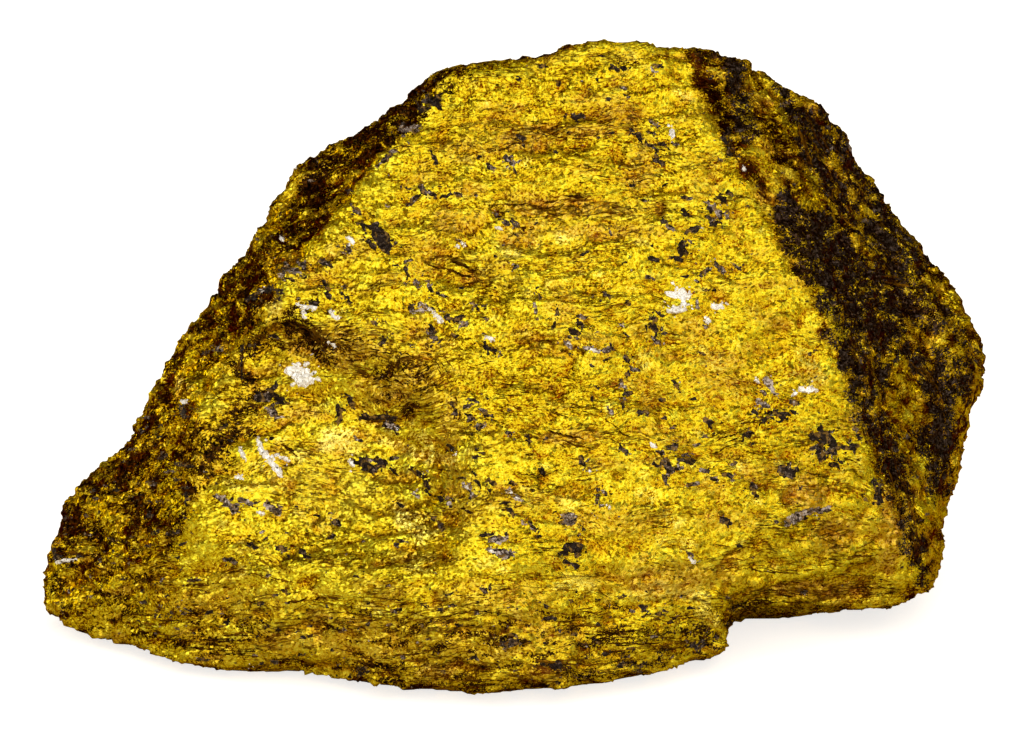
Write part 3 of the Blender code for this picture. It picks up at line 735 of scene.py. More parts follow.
    (350, 398, 354, 406, 4, 0.1), (362, 416, 394, 419, 4, 0), (388, 424, 396, 428, 5, 0.5),
    (242, 345, 242, 380, 2, 0.1), (216, 496, 222, 498, 4, 0.6), (226, 504, 236, 510, 6, 0.5),
    (240, 500, 250, 504, 4, 0.6), (268, 506, 280, 512, 5, 0.6), (250, 544, 256, 548, 4, 0.1),
    (276, 548, 290, 550, 3, 0.3), (500, 646, 518, 642, 5, 0.3), (558, 664, 562, 666, 5, 0.1),
    (690, 648, 704, 642, 5, 0.2), (56, 554, 58, 557, 5, 0), (186, 492, 187, 504, 3, 0), (302, 552, 308, 556, 4, 0.2),
    (332, 520, 338, 524, 4, 0.3), (226, 560, 236, 562, 4, 0.3), (648, 200, 648, 200, 3, 0.5),
    (504, 158, 514, 164, 5, 0.6), (488, 166, 494, 170, 4, 0.5), (518, 138, 524, 140, 4, 0.1),
    (640, 412, 646, 414, 4, 0.2), (706, 420, 712, 424, 4, 0.2), (722, 520, 730, 522, 4, 0.2),
    (754, 484, 756, 496, 4, 0.2), (620, 446, 626, 452, 4, 0.3), (440, 524, 444, 530, 4, 0.3),
    (352, 206, 358, 214, 4, 0.3), (322, 262, 330, 266, 4, 0.3), (300, 262, 306, 268, 4, 0.4),
    (182, 406, 184, 416, 4, 0), (216, 350, 222, 348, 3, 0.5), (208, 350, 204, 354, 3, 0.2),
]
QUARTZ = [
    (292, 372, 300, 378, 8), (300, 370, 308, 378, 8), (304, 384, 300, 380, 6), (314, 378, 321, 380, 2),
    (668, 294, 690, 296, 4), (676, 290, 678, 284, 2), (682, 292, 684, 304, 5), (670, 310, 684, 310, 4),
    (672, 283, 674, 284, 2), (714, 306, 722, 306, 4), (706, 318, 709, 322, 3), (258, 439, 261, 448, 3),
    (262, 450, 270, 460, 5), (270, 462, 281, 474, 4), (276, 455, 288, 460, 3), (240, 449, 243, 456, 3),
    (243, 457, 248, 461, 2), (348, 237, 353, 242, 3), (350, 243, 348, 248, 2), (296, 303, 300, 306, 2),
    (302, 307, 316, 308, 3), (303, 312, 305, 318, 3), (331, 312, 336, 318, 3), (338, 316, 340, 320, 2),
    (328, 342, 335, 346, 2), (428, 308, 433, 312, 2), (434, 313, 441, 321, 3), (487, 337, 494, 340, 3),
    (668, 125, 672, 128, 2), (672, 130, 673, 138, 3), (792, 395, 800, 391, 2), (801, 389, 812, 390, 4),
    (810, 388, 816, 390, 3), (756, 378, 758, 383, 2), (690, 558, 694, 562, 3), (456, 245, 459, 247, 2),
    (462, 243, 465, 246, 2), (250, 667, 254, 669, 3), (350, 463, 352, 464, 4), (394, 426, 398, 430, 2),
    (496, 227, 502, 229, 2), (650, 443, 656, 448, 2), (56, 562, 76, 559, 2), (260, 291, 266, 288, 2),
    (489, 549, 494, 552, 3), (588, 470, 590, 472, 2), (606, 505, 610, 507, 2), (508, 491, 512, 493, 2),
    (516, 498, 520, 500, 2), (182, 402, 186, 402, 3), (464, 486, 468, 488, 2), (236, 476, 242, 478, 3),
    (258, 512, 264, 514, 2), (566, 343, 570, 345, 2), (590, 349, 598, 351, 2), (452, 452, 456, 454, 2),
    (699, 228, 704, 228, 1), (743, 168, 745, 170, 2), (280, 238, 283, 240, 2),
]
# Rust and brown films, and painted brown shade in the hollow, as (x, y, half width, half height, strength)
RUST_AND_SHADE_FILMS = [
    (457, 222, 30, 16, 0.7), (518, 140, 40, 14, 0.8), (621, 114, 26, 14, 0.7), (803, 494, 26, 18, 0.9),
    (835, 535, 34, 20, 0.8), (560, 130, 90, 8, 0.7), (560, 208, 80, 12, 0.8), (572, 438, 34, 9, 0.9),
    (665, 578, 70, 16, 0.7), (600, 100, 40, 10, 0.5), (640, 170, 20, 24, 0.7), (600, 232, 60, 10, 0.7),
    (340, 345, 60, 22, 0.8), (420, 372, 30, 20, 0.6), (890, 530, 14, 50, 0.8), (290, 415, 30, 12, 0.6),
    (480, 275, 30, 10, 0.5), (720, 360, 30, 12, 0.5), (610, 520, 50, 14, 0.5), (300, 640, 60, 12, 0.6),
    (820, 590, 60, 10, 0.8), (560, 305, 14, 30, 0.5), (350, 250, 30, 12, 0.5), (450, 420, 14, 40, 0.6),
    (500, 600, 60, 14, 0.5), (730, 520, 40, 12, 0.5), (700, 180, 24, 30, 0.35), (590, 340, 30, 8, 0.6),
    (465, 500, 20, 46, 0.50), (330, 490, 70, 34, 0.32), (310, 272, 36, 20, 0.35), (420, 640, 200, 26, 0.38), (230, 600, 80, 20, 0.3),
    (400, 388, 44, 22, 0.75), (448, 440, 12, 40, 0.55), (310, 412, 24, 8, 0.6), (470, 150, 40, 12, 0.6), (520, 238, 24, 10, 0.8),
    (470, 190, 16, 10, 0.7), (425, 245, 20, 10, 0.6), (690, 330, 26, 14, 0.5), (520, 500, 40, 14, 0.5), (640, 330, 14, 10, 0.6),
]


# The fresh break, as the view shows it: brighter than the old faces around it, which carry tarnish and painted side
# shade
FRESH = [
    (452, 74), (500, 64), (548, 58), (590, 38), (650, 40), (681, 50), (693, 78), (704, 104), (721, 138), (742, 177), (766, 217),
    (784, 262), (802, 292), (828, 342), (850, 390), (864, 430), (876, 470), (888, 508), (898, 536), (916, 574),
    (840, 584), (745, 580), (728, 606), (690, 640), (560, 654), (430, 640), (300, 612), (220, 598), (172, 588), (178, 536),
    (200, 500), (220, 464), (252, 434), (262, 404), (246, 352), (262, 306), (300, 256), (342, 204), (398, 138), (430, 104),
]
# Painted highlights: pale bright patches, in the same form as the coating strokes below
PAINTED_HIGHLIGHTS = [
    (333, 435, 348, 437, 6, 1.0), (326, 443, 340, 445, 5, 1.0), (410, 452, 428, 458, 6, 0.9), (398, 510, 412, 520, 7, 1.0), (412, 524, 424, 540, 6, 0.8), (430, 455, 452, 462, 6, 0.8), (424, 438, 430, 446, 5, 0.8),
    (384, 426, 396, 432, 3, 0.7), (296, 452, 312, 458, 5, 0.6), (380, 440, 400, 444, 5, 0.6), (342, 450, 360, 446, 4, 0.5),
    (262, 300, 276, 306, 5, 0.6), (290, 372, 296, 380, 4, 0.4), (560, 236, 570, 240, 4, 0.7), (506, 246, 516, 250, 4, 0.6),
    (530, 240, 538, 246, 4, 0.5), (600, 280, 606, 290, 4, 0.5), (682, 92, 690, 100, 4, 0.7), (640, 240, 650, 246, 5, 0.4),
    (640, 360, 648, 372, 5, 0.5), (700, 350, 720, 360, 6, 0.5), (800, 350, 812, 372, 6, 0.6), (812, 362, 820, 376, 4, 0.7),
    (664, 514, 676, 524, 6, 0.7), (560, 500, 572, 506, 5, 0.4), (640, 496, 652, 500, 5, 0.5), (680, 540, 690, 548, 5, 0.6),
    (480, 560, 490, 566, 4, 0.4), (420, 520, 436, 530, 6, 0.5), (400, 560, 430, 566, 6, 0.4), (366, 606, 376, 610, 5, 0.5),
    (260, 470, 276, 486, 5, 0.4), (230, 480, 250, 486, 5, 0.4), (560, 580, 590, 584, 6, 0.5), (640, 590, 700, 596, 7, 0.6),
    (700, 610, 716, 624, 6, 0.7), (176, 380, 186, 392, 6, 0.5), (490, 650, 520, 656, 5, 0.4), (420, 670, 450, 674, 5, 0.4),
]
# Painted light: brighter strokes on the old faces, as (from x, from y, to x, to y, half width, how bright)
PAINTED_LIGHT_STROKES = [
    (752, 150, 780, 190, 9, 0.8), (744, 100, 760, 140, 7, 0.5), (770, 90, 790, 130, 8, 0.5), (806, 170, 820, 200, 7, 0.4),
    (822, 292, 844, 340, 8, 0.9), (846, 390, 862, 410, 7, 0.6), (900, 352, 918, 404, 9, 0.6), (884, 392, 912, 420, 10, 0.6),
    (916, 456, 932, 514, 9, 0.9), (936, 494, 946, 512, 8, 0.9), (950, 300, 966, 330, 9, 0.5), (896, 540, 912, 580, 7, 0.9),
    (884, 506, 898, 560, 7, 0.9), (924, 568, 934, 590, 6, 0.8), (936, 448, 942, 470, 5, 0.6), (962, 400, 968, 430, 6, 0.5),
    (190, 366, 202, 386, 11, 0.75), (192, 392, 210, 416, 9, 0.6), (226, 330, 240, 352, 6, 0.5), (256, 350, 266, 382, 10, 0.8), (226, 380, 232, 400, 6, 0.35), (214, 346, 222, 360, 5, 0.4),
    (168, 470, 180, 540, 12, 0.6), (150, 540, 170, 580, 12, 0.6), (112, 520, 120, 560, 8, 0.4), (80, 590, 110, 606, 8, 0.4),
    (130, 440, 140, 470, 5, 0.3), (276, 250, 290, 262, 8, 0.5), (760, 590, 900, 592, 9, 0.5), (330, 180, 350, 186, 6, 0.4), (384, 120, 396, 130, 5, 0.4),
]
# Where the painted shadow lines of the partings crowd, as (x, y, half width, half height, strength)
PARTING_SHADOW_ZONES = [
    (560, 131, 70, 9, 1.0), (640, 172, 30, 12, 0.6), (600, 208, 110, 12, 1.0), (560, 262, 60, 10, 0.6),
    (445, 264, 26, 9, 1.0), (735, 150, 30, 10, 0.8), (735, 205, 34, 10, 0.8), (540, 345, 60, 10, 0.8),
    (590, 436, 80, 14, 1.0), (640, 405, 60, 9, 0.6), (760, 440, 90, 12, 0.8), (840, 480, 36, 18, 0.9),
    (800, 530, 60, 12, 0.8), (330, 335, 70, 14, 1.0), (390, 370, 50, 16, 1.0), (425, 405, 34, 16, 0.9),
    (300, 470, 60, 8, 0.6), (350, 560, 90, 10, 0.8), (540, 580, 70, 12, 0.9), (500, 500, 50, 10, 0.6),
    (380, 620, 160, 22, 1.0), (620, 640, 90, 26, 1.0), (820, 590, 90, 12, 1.0), (500, 670, 160, 14, 1.0),
    (160, 560, 30, 30, 0.8), (240, 610, 60, 14, 0.8), (690, 600, 40, 8, 0.6), (840, 555, 60, 14, 0.8),
]
# Black coating over the old faces, and painted shade in the hollow, under the shoulder and along the low front, as
# strokes on the picture plane (from x, from y, to x, to y, half width, how black); below 0 the stroke wipes it off
COATING_AND_SHADE_STROKES = [
    (732, 68, 738, 94, 7, 0.8), (738, 104, 750, 134, 9, 0.9), (727, 134, 730, 154, 4, 0.8), (768, 70, 776, 84, 5, 0.4),
    (784, 92, 806, 150, 5, 0.9), (800, 116, 826, 146, 9, 1.0), (830, 100, 862, 190, 9, 0.8), (812, 160, 850, 215, 9, 0.6),
    (784, 200, 792, 252, 9, 0.9), (806, 226, 836, 250, 20, 1.0), (816, 256, 880, 300, 26, 1.0), (842, 300, 880, 330, 22, 1.0),
    (852, 340, 868, 380, 20, 1.0), (872, 190, 920, 262, 10, 0.8), (896, 288, 934, 318, 16, 0.9), (870, 232, 906, 270, 14, 0.9),
    (902, 350, 934, 380, 7, 1.0), (934, 380, 954, 440, 9, 1.0), (858, 402, 880, 430, 13, 0.7), (888, 440, 904, 500, 11, 0.9),
    (904, 500, 920, 580, 9, 0.9), (928, 440, 938, 486, 13, 1.0), (940, 350, 952, 400, 7, 0.5), (968, 380, 972, 420, 6, 0.4),
    (700, 48, 724, 52, 7, 0.6), (610, 60, 640, 62, 5, 0.5), (446, 72, 480, 66, 5, 0.6),
    (402, 100, 440, 84, 10, 0.9), (402, 128, 424, 112, 8, 0.95), (352, 140, 396, 112, 11, 0.95), (350, 168, 386, 140, 7, 0.8), (384, 132, 408, 112, 7, 0.8),
    (318, 168, 344, 156, 8, 0.9), (300, 190, 330, 172, 6, 0.7), (296, 214, 322, 196, 7, 0.9), (282, 238, 300, 222, 7, 0.7),
    (248, 258, 280, 244, 7, 0.8), (240, 290, 262, 270, 8, 0.9), (224, 320, 246, 300, 7, 0.8), (214, 300, 236, 274, 6, 0.8),
    (192, 332, 214, 318, 7, 0.8), (200, 372, 226, 340, 6, 0.6), (166, 366, 184, 352, 6, 0.7), (250, 344, 234, 372, 5, 0.7),
    (170, 400, 158, 440, 7, 0.6), (130, 450, 150, 420, 7, 0.8), (116, 470, 130, 462, 10, 1.0), (134, 500, 150, 516, 11, 1.0),
    (168, 456, 156, 488, 7, 0.8), (88, 492, 104, 480, 8, 0.9), (62, 520, 74, 506, 7, 0.8), (72, 534, 96, 530, 8, 0.8),
    (54, 554, 64, 560, 8, 1.0), (96, 560, 110, 540, 6, 0.6), (56, 590, 58, 604, 6, 0.7), (110, 600, 140, 606, 6, 0.5),
    (296, 322, 332, 350, 12, 1.0), (276, 318, 300, 322, 6, 0.9), (262, 322, 250, 345, 6, 0.8), (240, 345, 300, 346, 5, 0.6),
    (336, 340, 380, 346, 5, 0.6), (340, 330, 362, 330, 4, 0.4), (396, 366, 424, 372, 7, 0.6), (404, 412, 420, 402, 5, 0.8),
    (372, 374, 390, 374, 6, 0.9), (380, 392, 400, 396, 6, 0.45), (346, 356, 392, 358, 4, 0.4), (416, 382, 432, 396, 4, 0.45),
    (242, 348, 241, 400, 4, 0.7), (232, 424, 246, 412, 8, 0.55), (214, 430, 202, 470, 10, 0.62), (194, 462, 178, 516, 8, 0.75), (176, 516, 170, 560, 6, 0.6),
    (222, 466, 238, 448, 4, 0.7), (186, 500, 196, 486, 5, 0.9), (170, 470, 176, 500, 7, 0.55),
    (262, 296, 246, 330, 6, 0.8), (952, 320, 976, 360, 7, 0.5), (956, 360, 970, 400, 6, 0.55),
    (256, 394, 282, 402, 8, 0.6), (228, 425, 248, 436, 5, 0.7), (252, 400, 240, 425, 5, 0.5),
    (170, 640, 240, 646, 6, 0.5), (200, 630, 290, 634, 5, 0.5), (340, 664, 420, 670, 5, 0.5), (500, 642, 520, 640, 5, 0.7),
    (600, 640, 700, 626, 6, 0.6), (560, 676, 640, 668, 5, 0.6), (730, 606, 760, 602, 5, 0.7), (540, 612, 600, 616, 4, 0.4),
]


# Torn edges, and the dark strips of painted shadow along them, that the view shows, as (points on the picture plane,
# strands, spread, half width, ledge in mm)
TEARS = [
    ([(500, 128), (530, 124), (545, 131), (560, 134), (590, 131)], 5, 4, 1.1, 0.06),
    ([(460, 158), (480, 153), (500, 148), (515, 144), (545, 143)], 4, 3, 1.1, 0.08),
    ([(440, 151), (450, 145), (462, 143), (470, 147)], 3, 2, 1.2, 0.05),
    ([(546, 139), (570, 136), (604, 140)], 3, 3, 0.8, 0.0), ([(596, 129), (612, 124), (630, 122)], 3, 3, 0.9, 0.04),
    ([(560, 168), (590, 166), (612, 169)], 3, 3, 0.8, 0.0), ([(586, 180), (604, 179), (624, 181)], 3, 2, 0.9, 0.04),
    ([(470, 204), (500, 203), (545, 208)], 3, 3, 1.3, 0.05), ([(534, 204), (560, 199), (592, 200)], 4, 3, 1.5, 0.06),
    ([(540, 211), (556, 217), (575, 219)], 4, 3, 1.1, 0.05), ([(598, 213), (622, 214)], 3, 2, 1.3, 0.05),
    ([(620, 210), (636, 209), (652, 210)], 3, 2, 1.1, 0.04), ([(514, 226), (536, 229)], 3, 2, 1.5, 0.05),
    ([(545, 230), (562, 228)], 2, 2, 0.8, 0.0), ([(604, 223), (622, 224)], 2, 2, 0.9, 0.0),
    ([(440, 109), (470, 112), (500, 106), (530, 108)], 3, 3, 0.7, 0.0),
    ([(420, 256), (440, 257), (456, 262), (470, 268), (484, 268)], 5, 2, 1.8, 0.14),
    ([(424, 262), (444, 267), (460, 272), (478, 276)], 4, 2, 1.5, 0.06),
    ([(530, 262), (560, 264), (590, 262)], 3, 4, 0.7, 0.0), ([(480, 290), (520, 296), (560, 292)], 3, 5, 0.7, 0.0),
    ([(570, 310), (600, 313), (630, 309)], 3, 4, 0.7, 0.0), ([(560, 330), (590, 326), (600, 332)], 3, 4, 0.8, 0.0),
    ([(500, 330), (530, 333), (560, 328)], 3, 5, 0.7, 0.0), ([(640, 148), (668, 152), (690, 150)], 4, 4, 0.8, 0.0),
    ([(676, 150), (700, 147), (716, 148)], 3, 3, 0.9, 0.03), ([(690, 166), (706, 168), (722, 164)], 3, 4, 0.8, 0.0),
    ([(500, 378), (520, 380), (545, 378)], 3, 3, 0.8, 0.0), ([(478, 391), (510, 392), (552, 396)], 4, 4, 0.8, 0.03),
    ([(498, 408), (510, 405), (522, 409)], 4, 2, 1.3, 0.05), ([(545, 408), (575, 413), (602, 417)], 4, 4, 0.8, 0.03),
    ([(520, 433), (540, 433), (560, 437), (582, 443), (602, 446)], 7, 5, 1.6, 0.16),
    ([(523, 440), (534, 436), (545, 436)], 3, 2, 1.2, 0.05), ([(500, 455), (520, 458), (538, 456)], 3, 3, 0.9, 0.03),
    ([(512, 472), (535, 476), (552, 470), (570, 460)], 3, 2, 0.9, 0.04),
    ([(696, 449), (716, 438), (735, 429), (756, 421), (778, 419)], 5, 5, 1.1, 0.12),
    ([(708, 454), (730, 443), (752, 437)], 4, 4, 1.0, 0.06), ([(742, 439), (749, 434), (758, 434)], 4, 2, 1.6, 0.05),
    ([(718, 426), (745, 421), (762, 419)], 4, 3, 1.0, 0.05), ([(600, 416), (616, 426), (624, 440)], 3, 3, 0.8, 0.0),
    ([(596, 432), (620, 436), (644, 450)], 4, 4, 0.8, 0.04), ([(760, 404), (772, 398), (790, 402)], 3, 4, 0.9, 0.0),
    ([(780, 446), (800, 442), (818, 445)], 4, 3, 1.1, 0.05), ([(740, 452), (760, 456), (780, 455)], 4, 3, 0.9, 0.03),
    ([(800, 470), (826, 474), (860, 468)], 4, 6, 0.9, 0.04), ([(830, 460), (850, 462), (868, 470)], 4, 4, 1.0, 0.04),
    ([(760, 500), (790, 506), (820, 500)], 4, 6, 0.8, 0.0), ([(740, 530), (770, 526), (800, 530)], 4, 6, 0.8, 0.0),
    ([(803, 534), (818, 526), (834, 530), (848, 539)], 5, 5, 0.8, 0.05), ([(812, 542), (828, 536), (840, 543)], 3, 5, 0.8, 0.0), ([(700, 566), (740, 562), (780, 570), (820, 566)], 7, 5, 1.0, 0.06),
    ([(720, 578), (760, 574), (800, 580), (850, 576), (900, 580)], 9, 5, 1.1, 0.10),
    ([(730, 590), (770, 588), (810, 594), (860, 588), (904, 592)], 9, 5, 1.2, 0.10),
    ([(740, 602), (780, 600), (830, 603)], 6, 4, 1.2, 0.06), ([(796, 560), (816, 554), (842, 562), (880, 558)], 5, 4, 1.0, 0.06),
    ([(620, 556), (650, 566), (700, 574)], 4, 5, 0.7, 0.0), ([(440, 500), (460, 508), (482, 512)], 5, 4, 1.1, 0.06),
    ([(496, 504), (514, 508), (528, 503)], 4, 2, 1.3, 0.05), ([(430, 470), (450, 474), (480, 470)], 4, 5, 0.9, 0.03),
    ([(440, 452), (470, 460), (500, 456)], 3, 5, 0.8, 0.0), ([(560, 528), (580, 524), (604, 530)], 3, 4, 0.8, 0.0),
    ([(510, 552), (540, 550), (566, 552)], 3, 3, 0.9, 0.03), ([(640, 530), (664, 526), (690, 532)], 3, 5, 0.7, 0.0),
    # the hollow
    ([(256, 334), (272, 320), (290, 318), (308, 326), (318, 340), (330, 352)], 12, 5, 1.7, 0.42),
    ([(238, 342), (262, 338), (280, 346), (300, 344), (322, 350)], 9, 4, 1.5, 0.20),
    ([(286, 318), (304, 332), (324, 338)], 6, 5, 1.5, 0.10), ([(330, 333), (348, 328), (368, 334)], 6, 4, 1.3, 0.16),
    ([(318, 341), (345, 340), (374, 346), (396, 342)], 8, 5, 1.3, 0.20), ([(340, 354), (372, 350), (398, 358)], 7, 5, 1.2, 0.14),
    ([(344, 373), (362, 370), (374, 377), (388, 371), (396, 376)], 7, 3, 1.7, 0.22),
    ([(396, 362), (408, 357), (424, 364), (432, 376)], 8, 5, 1.4, 0.16), ([(378, 386), (395, 382), (406, 391), (414, 402)], 6, 4, 1.3, 0.12),
    ([(400, 415), (410, 405), (422, 400)], 6, 3, 1.8, 0.10), ([(384, 419), (400, 415), (412, 408)], 4, 3, 1.1, 0.08),
    ([(356, 415), (375, 420), (398, 418)], 5, 2, 1.5, 0.22), ([(418, 372), (430, 379), (437, 392)], 4, 3, 1.1, 0.08),
    ([(438, 418), (449, 432), (446, 446)], 5, 3, 1.4, 0.10), ([(424, 344), (436, 360), (448, 382)], 5, 4, 0.8, 0.06),
    ([(434, 350), (446, 368), (462, 392)], 4, 4, 0.8, 0.04), ([(262, 439), (280, 443), (292, 452), (302, 462)], 4, 2, 1.5, 0.14),
    ([(298, 398), (318, 398), (332, 402)], 4, 3, 1.1, 0.05), ([(302, 410), (320, 413), (334, 410)], 4, 3, 1.0, 0.03),
    ([(264, 322), (252, 342), (243, 360), (241, 384)], 7, 3, 1.4, 0.16), ([(228, 428), (240, 438), (256, 430)], 5, 3, 1.3, 0.08),
    ([(404, 466), (416, 474), (427, 482), (434, 492)], 5, 2, 1.4, 0.16), ([(386, 468), (398, 475)], 3, 2, 1.4, 0.04),
    ([(300, 298), (316, 304), (330, 302)], 3, 2, 1.2, 0.10), ([(332, 302), (342, 308), (346, 318)], 3, 2, 1.0, 0.05),
    ([(318, 452), (336, 456), (352, 452)], 4, 4, 0.9, 0.04), ([(280, 488), (310, 494), (340, 490)], 4, 5, 0.8, 0.0),
    ([(340, 500), (370, 506), (410, 500)], 4, 5, 0.8, 0.0), ([(232, 506), (262, 512), (300, 508)], 4, 5, 0.8, 0.03),
    ([(452, 396), (458, 408), (456, 424)], 5, 4, 1.1, 0.08), ([(432, 300), (440, 318), (444, 338)], 3, 4, 0.8, 0.0),
    # the low front face
    ([(168, 588), (200, 582), (232, 586)], 6, 4, 1.1, 0.08), ([(250, 572), (280, 585), (304, 590)], 5, 3, 1.1, 0.08),
    ([(286, 603), (320, 598), (352, 602)], 6, 3, 1.3, 0.12), ([(376, 600), (404, 602), (430, 598)], 5, 3, 1.0, 0.06),
    ([(440, 592), (480, 596), (520, 590)], 5, 4, 1.0, 0.06), ([(120, 616), (160, 622), (200, 618)], 6, 4, 1.1, 0.06),
    ([(150, 636), (200, 644), (260, 640)], 8, 5, 1.3, 0.08), ([(230, 632), (262, 638), (290, 634)], 6, 4, 1.3, 0.06),
    ([(300, 622), (350, 628), (400, 622)], 6, 5, 1.0, 0.06), ([(330, 652), (380, 660), (430, 656)], 7, 5, 1.2, 0.06),
    ([(400, 616), (440, 620), (480, 614)], 6, 5, 1.0, 0.05), ([(480, 640), (510, 646), (540, 640)], 7, 4, 1.3, 0.08),
    ([(540, 612), (580, 618), (620, 612)], 7, 5, 1.1, 0.06), ([(560, 630), (610, 636), (660, 630)], 9, 5, 1.3, 0.08),
    ([(600, 648), (650, 646), (700, 638)], 9, 5, 1.4, 0.08), ([(640, 616), (680, 620), (712, 612)], 6, 4, 1.1, 0.06),
    ([(530, 660), (570, 664), (620, 658)], 7, 4, 1.3, 0.06), ([(420, 680), (470, 684), (520, 680)], 5, 3, 1.1, 0.0),
    ([(200, 650), (250, 656), (300, 652)], 6, 4, 1.1, 0.0), ([(720, 606), (740, 612), (760, 608)], 6, 3, 1.5, 0.10),
    # the old faces
    ([(782, 86), (797, 117), (806, 150), (816, 180)], 6, 3, 1.8, 0.30), ([(806, 112), (814, 136), (828, 160)], 7, 4, 1.9, 0.20),
    ([(816, 180), (836, 206), (858, 226)], 5, 4, 1.5, 0.10), ([(902, 350), (934, 378), (953, 436)], 8, 4, 1.9, 0.22),
    ([(880, 280), (912, 284), (936, 300)], 6, 4, 1.7, 0.12), ([(846, 330), (862, 356), (876, 384)], 6, 5, 1.6, 0.10),
    ([(884, 436), (898, 480), (914, 524), (922, 570)], 10, 6, 1.6, 0.14), ([(728, 132), (736, 156), (752, 178)], 5, 3, 1.3, 0.06),
    ([(172, 500), (168, 530), (172, 570)], 5, 4, 1.2, 0.10), ([(120, 560), (132, 580), (150, 596)], 5, 4, 1.2, 0.08),
    ([(196, 412), (190, 450), (184, 480)], 5, 4, 1.3, 0.10), ([(262, 300), (248, 322), (238, 344)], 5, 4, 1.5, 0.14),
    ([(60, 556), (74, 552), (90, 556)], 3, 2, 1.6, 0.14), ([(862, 420), (872, 460), (884, 500)], 5, 3, 1.2, 0.10),
]


# Painted light and shade: regions made lighter or darker in tone, as (x, y, half width, half height, more)
PAINTED_LIGHT_AND_SHADE = [
    (335, 482, 90, 40, 0.65), (330, 436, 34, 18, 0.35), (412, 500, 40, 40, 0.3), (300, 628, 120, 26, 0.75),
    (580, 125, 110, 45, -0.55), (530, 385, 80, 50, -0.60), (760, 390, 60, 50, -0.35), (665, 578, 70, 22, 0.35),
    (214, 380, 26, 44, 0.32), (912, 525, 22, 48, 0.36), (390, 120, 28, 16, -0.12), (318, 205, 34, 24, -0.10),
    (742, 120, 18, 34, 0.18), (400, 392, 50, 26, -0.25), (118, 545, 40, 50, 0.06),
    (700, 70, 7, 14, -0.50), (713, 98, 7, 16, -0.55), (727, 130, 7, 16, -0.55), (744, 164, 8, 18, -0.40), (762, 196, 7, 14, -0.25),
]


# Small humps and dents, as (x, y, half width, height in mm)
HUMPS = [
    (812, 108, 9, 0.45), (792, 89, 16, -1.6), (774, 84, 12, -0.5), (832, 122, 8, -0.35), (848, 146, 12, 0.15),
    (400, 116, 12, 0.25), (352, 150, 16, 0.25), (300, 180, 14, 0.30), (262, 240, 12, 0.25), (220, 300, 12, 0.25),
    (170, 368, 12, 0.25), (130, 440, 12, -0.25), (80, 490, 12, 0.25), (968, 330, 20, 0.20), (944, 452, 14, -0.25),
    (729, 654, 18, -1.7), (722, 634, 10, -0.4), (736, 618, 9, 0.5), (738, 70, 9, 0.8), (764, 75, 9, -0.5), (716, 51, 9, -0.55), (696, 58, 9, 0.45),
]


# Where the outline is drawn out or pressed in, as (x, y, right, down, width), all in pixels
NUDGES = [
    (368, 137, -6, -9, 28), (403, 108, -3, -4, 24), (438, 80, -3, -5, 28), (480, 68, 0, -3, 28), (524, 60, 0, -1, 28),
    (571, 50, 0, -3, 28), (622, 50, 0, -5, 28), (658, 56, 0, -7, 26), (690, 56, 0, -6, 20), (716, 52, 0, 5, 13),
    (744, 68, 3, -6, 12), (764, 73, 0, 2, 12), (790, 88, -3, 5, 20), (862, 162, -5, 4, 28), (894, 210, -4, 3, 28),
    (928, 262, 3, -2, 26), (964, 446, -4, 0, 28), (952, 505, -7, 0, 30), (936, 560, -3, 0, 24), (142, 408, 2, 2, 26),
    (203, 314, -2, -2, 26), (234, 279, -6, -5, 24), (262, 247, -10, -9, 26), (277, 210, -3, -2, 22), (299, 175, -3, -3, 26),
    (334, 154, -3, -5, 24), (64, 612, -3, 0, 20),
]


def inside_shape(u, v, shape):
    """Signed distance in pixels from the outline, positive inside."""
    near = np.full(len(u), 1e9)
    within = np.zeros(len(u), bool)
    for (x0, y0), (x1, y1) in zip(shape, shape[1:] + shape[:1]):
        dx, dy = x1 - x0, y1 - y0
        t = np.clip(((u - x0) * dx + (v - y0) * dy) / (dx * dx + dy * dy), 0, 1)
        near = np.minimum(near, np.hypot(u - x0 - t * dx, v - y0 - t * dy))
        if dy:
            within ^= ((v >= min(y0, y1)) & (v < max(y0, y1))) & (u < x0 + (v - y0) / dy * dx)
    return np.where(within, near, -near)


def seen_at(bvh, x, y):
    """The point of the surface under a pixel of the view, in row-frame millimetres, or None."""
    ray = FORWARD + (x - 512.0) / VIEW_PX * np.array([1.0, 0, 0]) - (y - 368.0) / VIEW_PX * UPWARD
    hit = bvh.ray_cast(Vector(EYE * MM), Vector(ray).normalized())
    return None if hit[0] is None else np.array(hit[0]) / MM


def to_segment(p, a, b):
    d = b - a
    t = np.clip(((p - a) @ d) / max(d @ d, 1e-9), 0, 1)
    return np.linalg.norm(p - a - t[:, None] * d, axis=1)


def smooth_line(points, count):
    """Points evenly along a soft curve through the given ones."""
    pts = np.array(points, float)
    if len(pts) > 2:
        for _ in range(2):
            a, b = pts[:-1] * 0.75 + pts[1:] * 0.25, pts[:-1] * 0.25 + pts[1:] * 0.75
            pts = np.vstack([pts[:1], np.stack([a, b], 1).reshape(-1, 2), pts[-1:]])
    run = np.concatenate([[0], np.cumsum(np.hypot(*np.diff(pts, axis=0).T))])
    at = np.linspace(0, run[-1], count)
    return np.stack([np.interp(at, run, pts[:, 0]), np.interp(at, run, pts[:, 1])], 1)


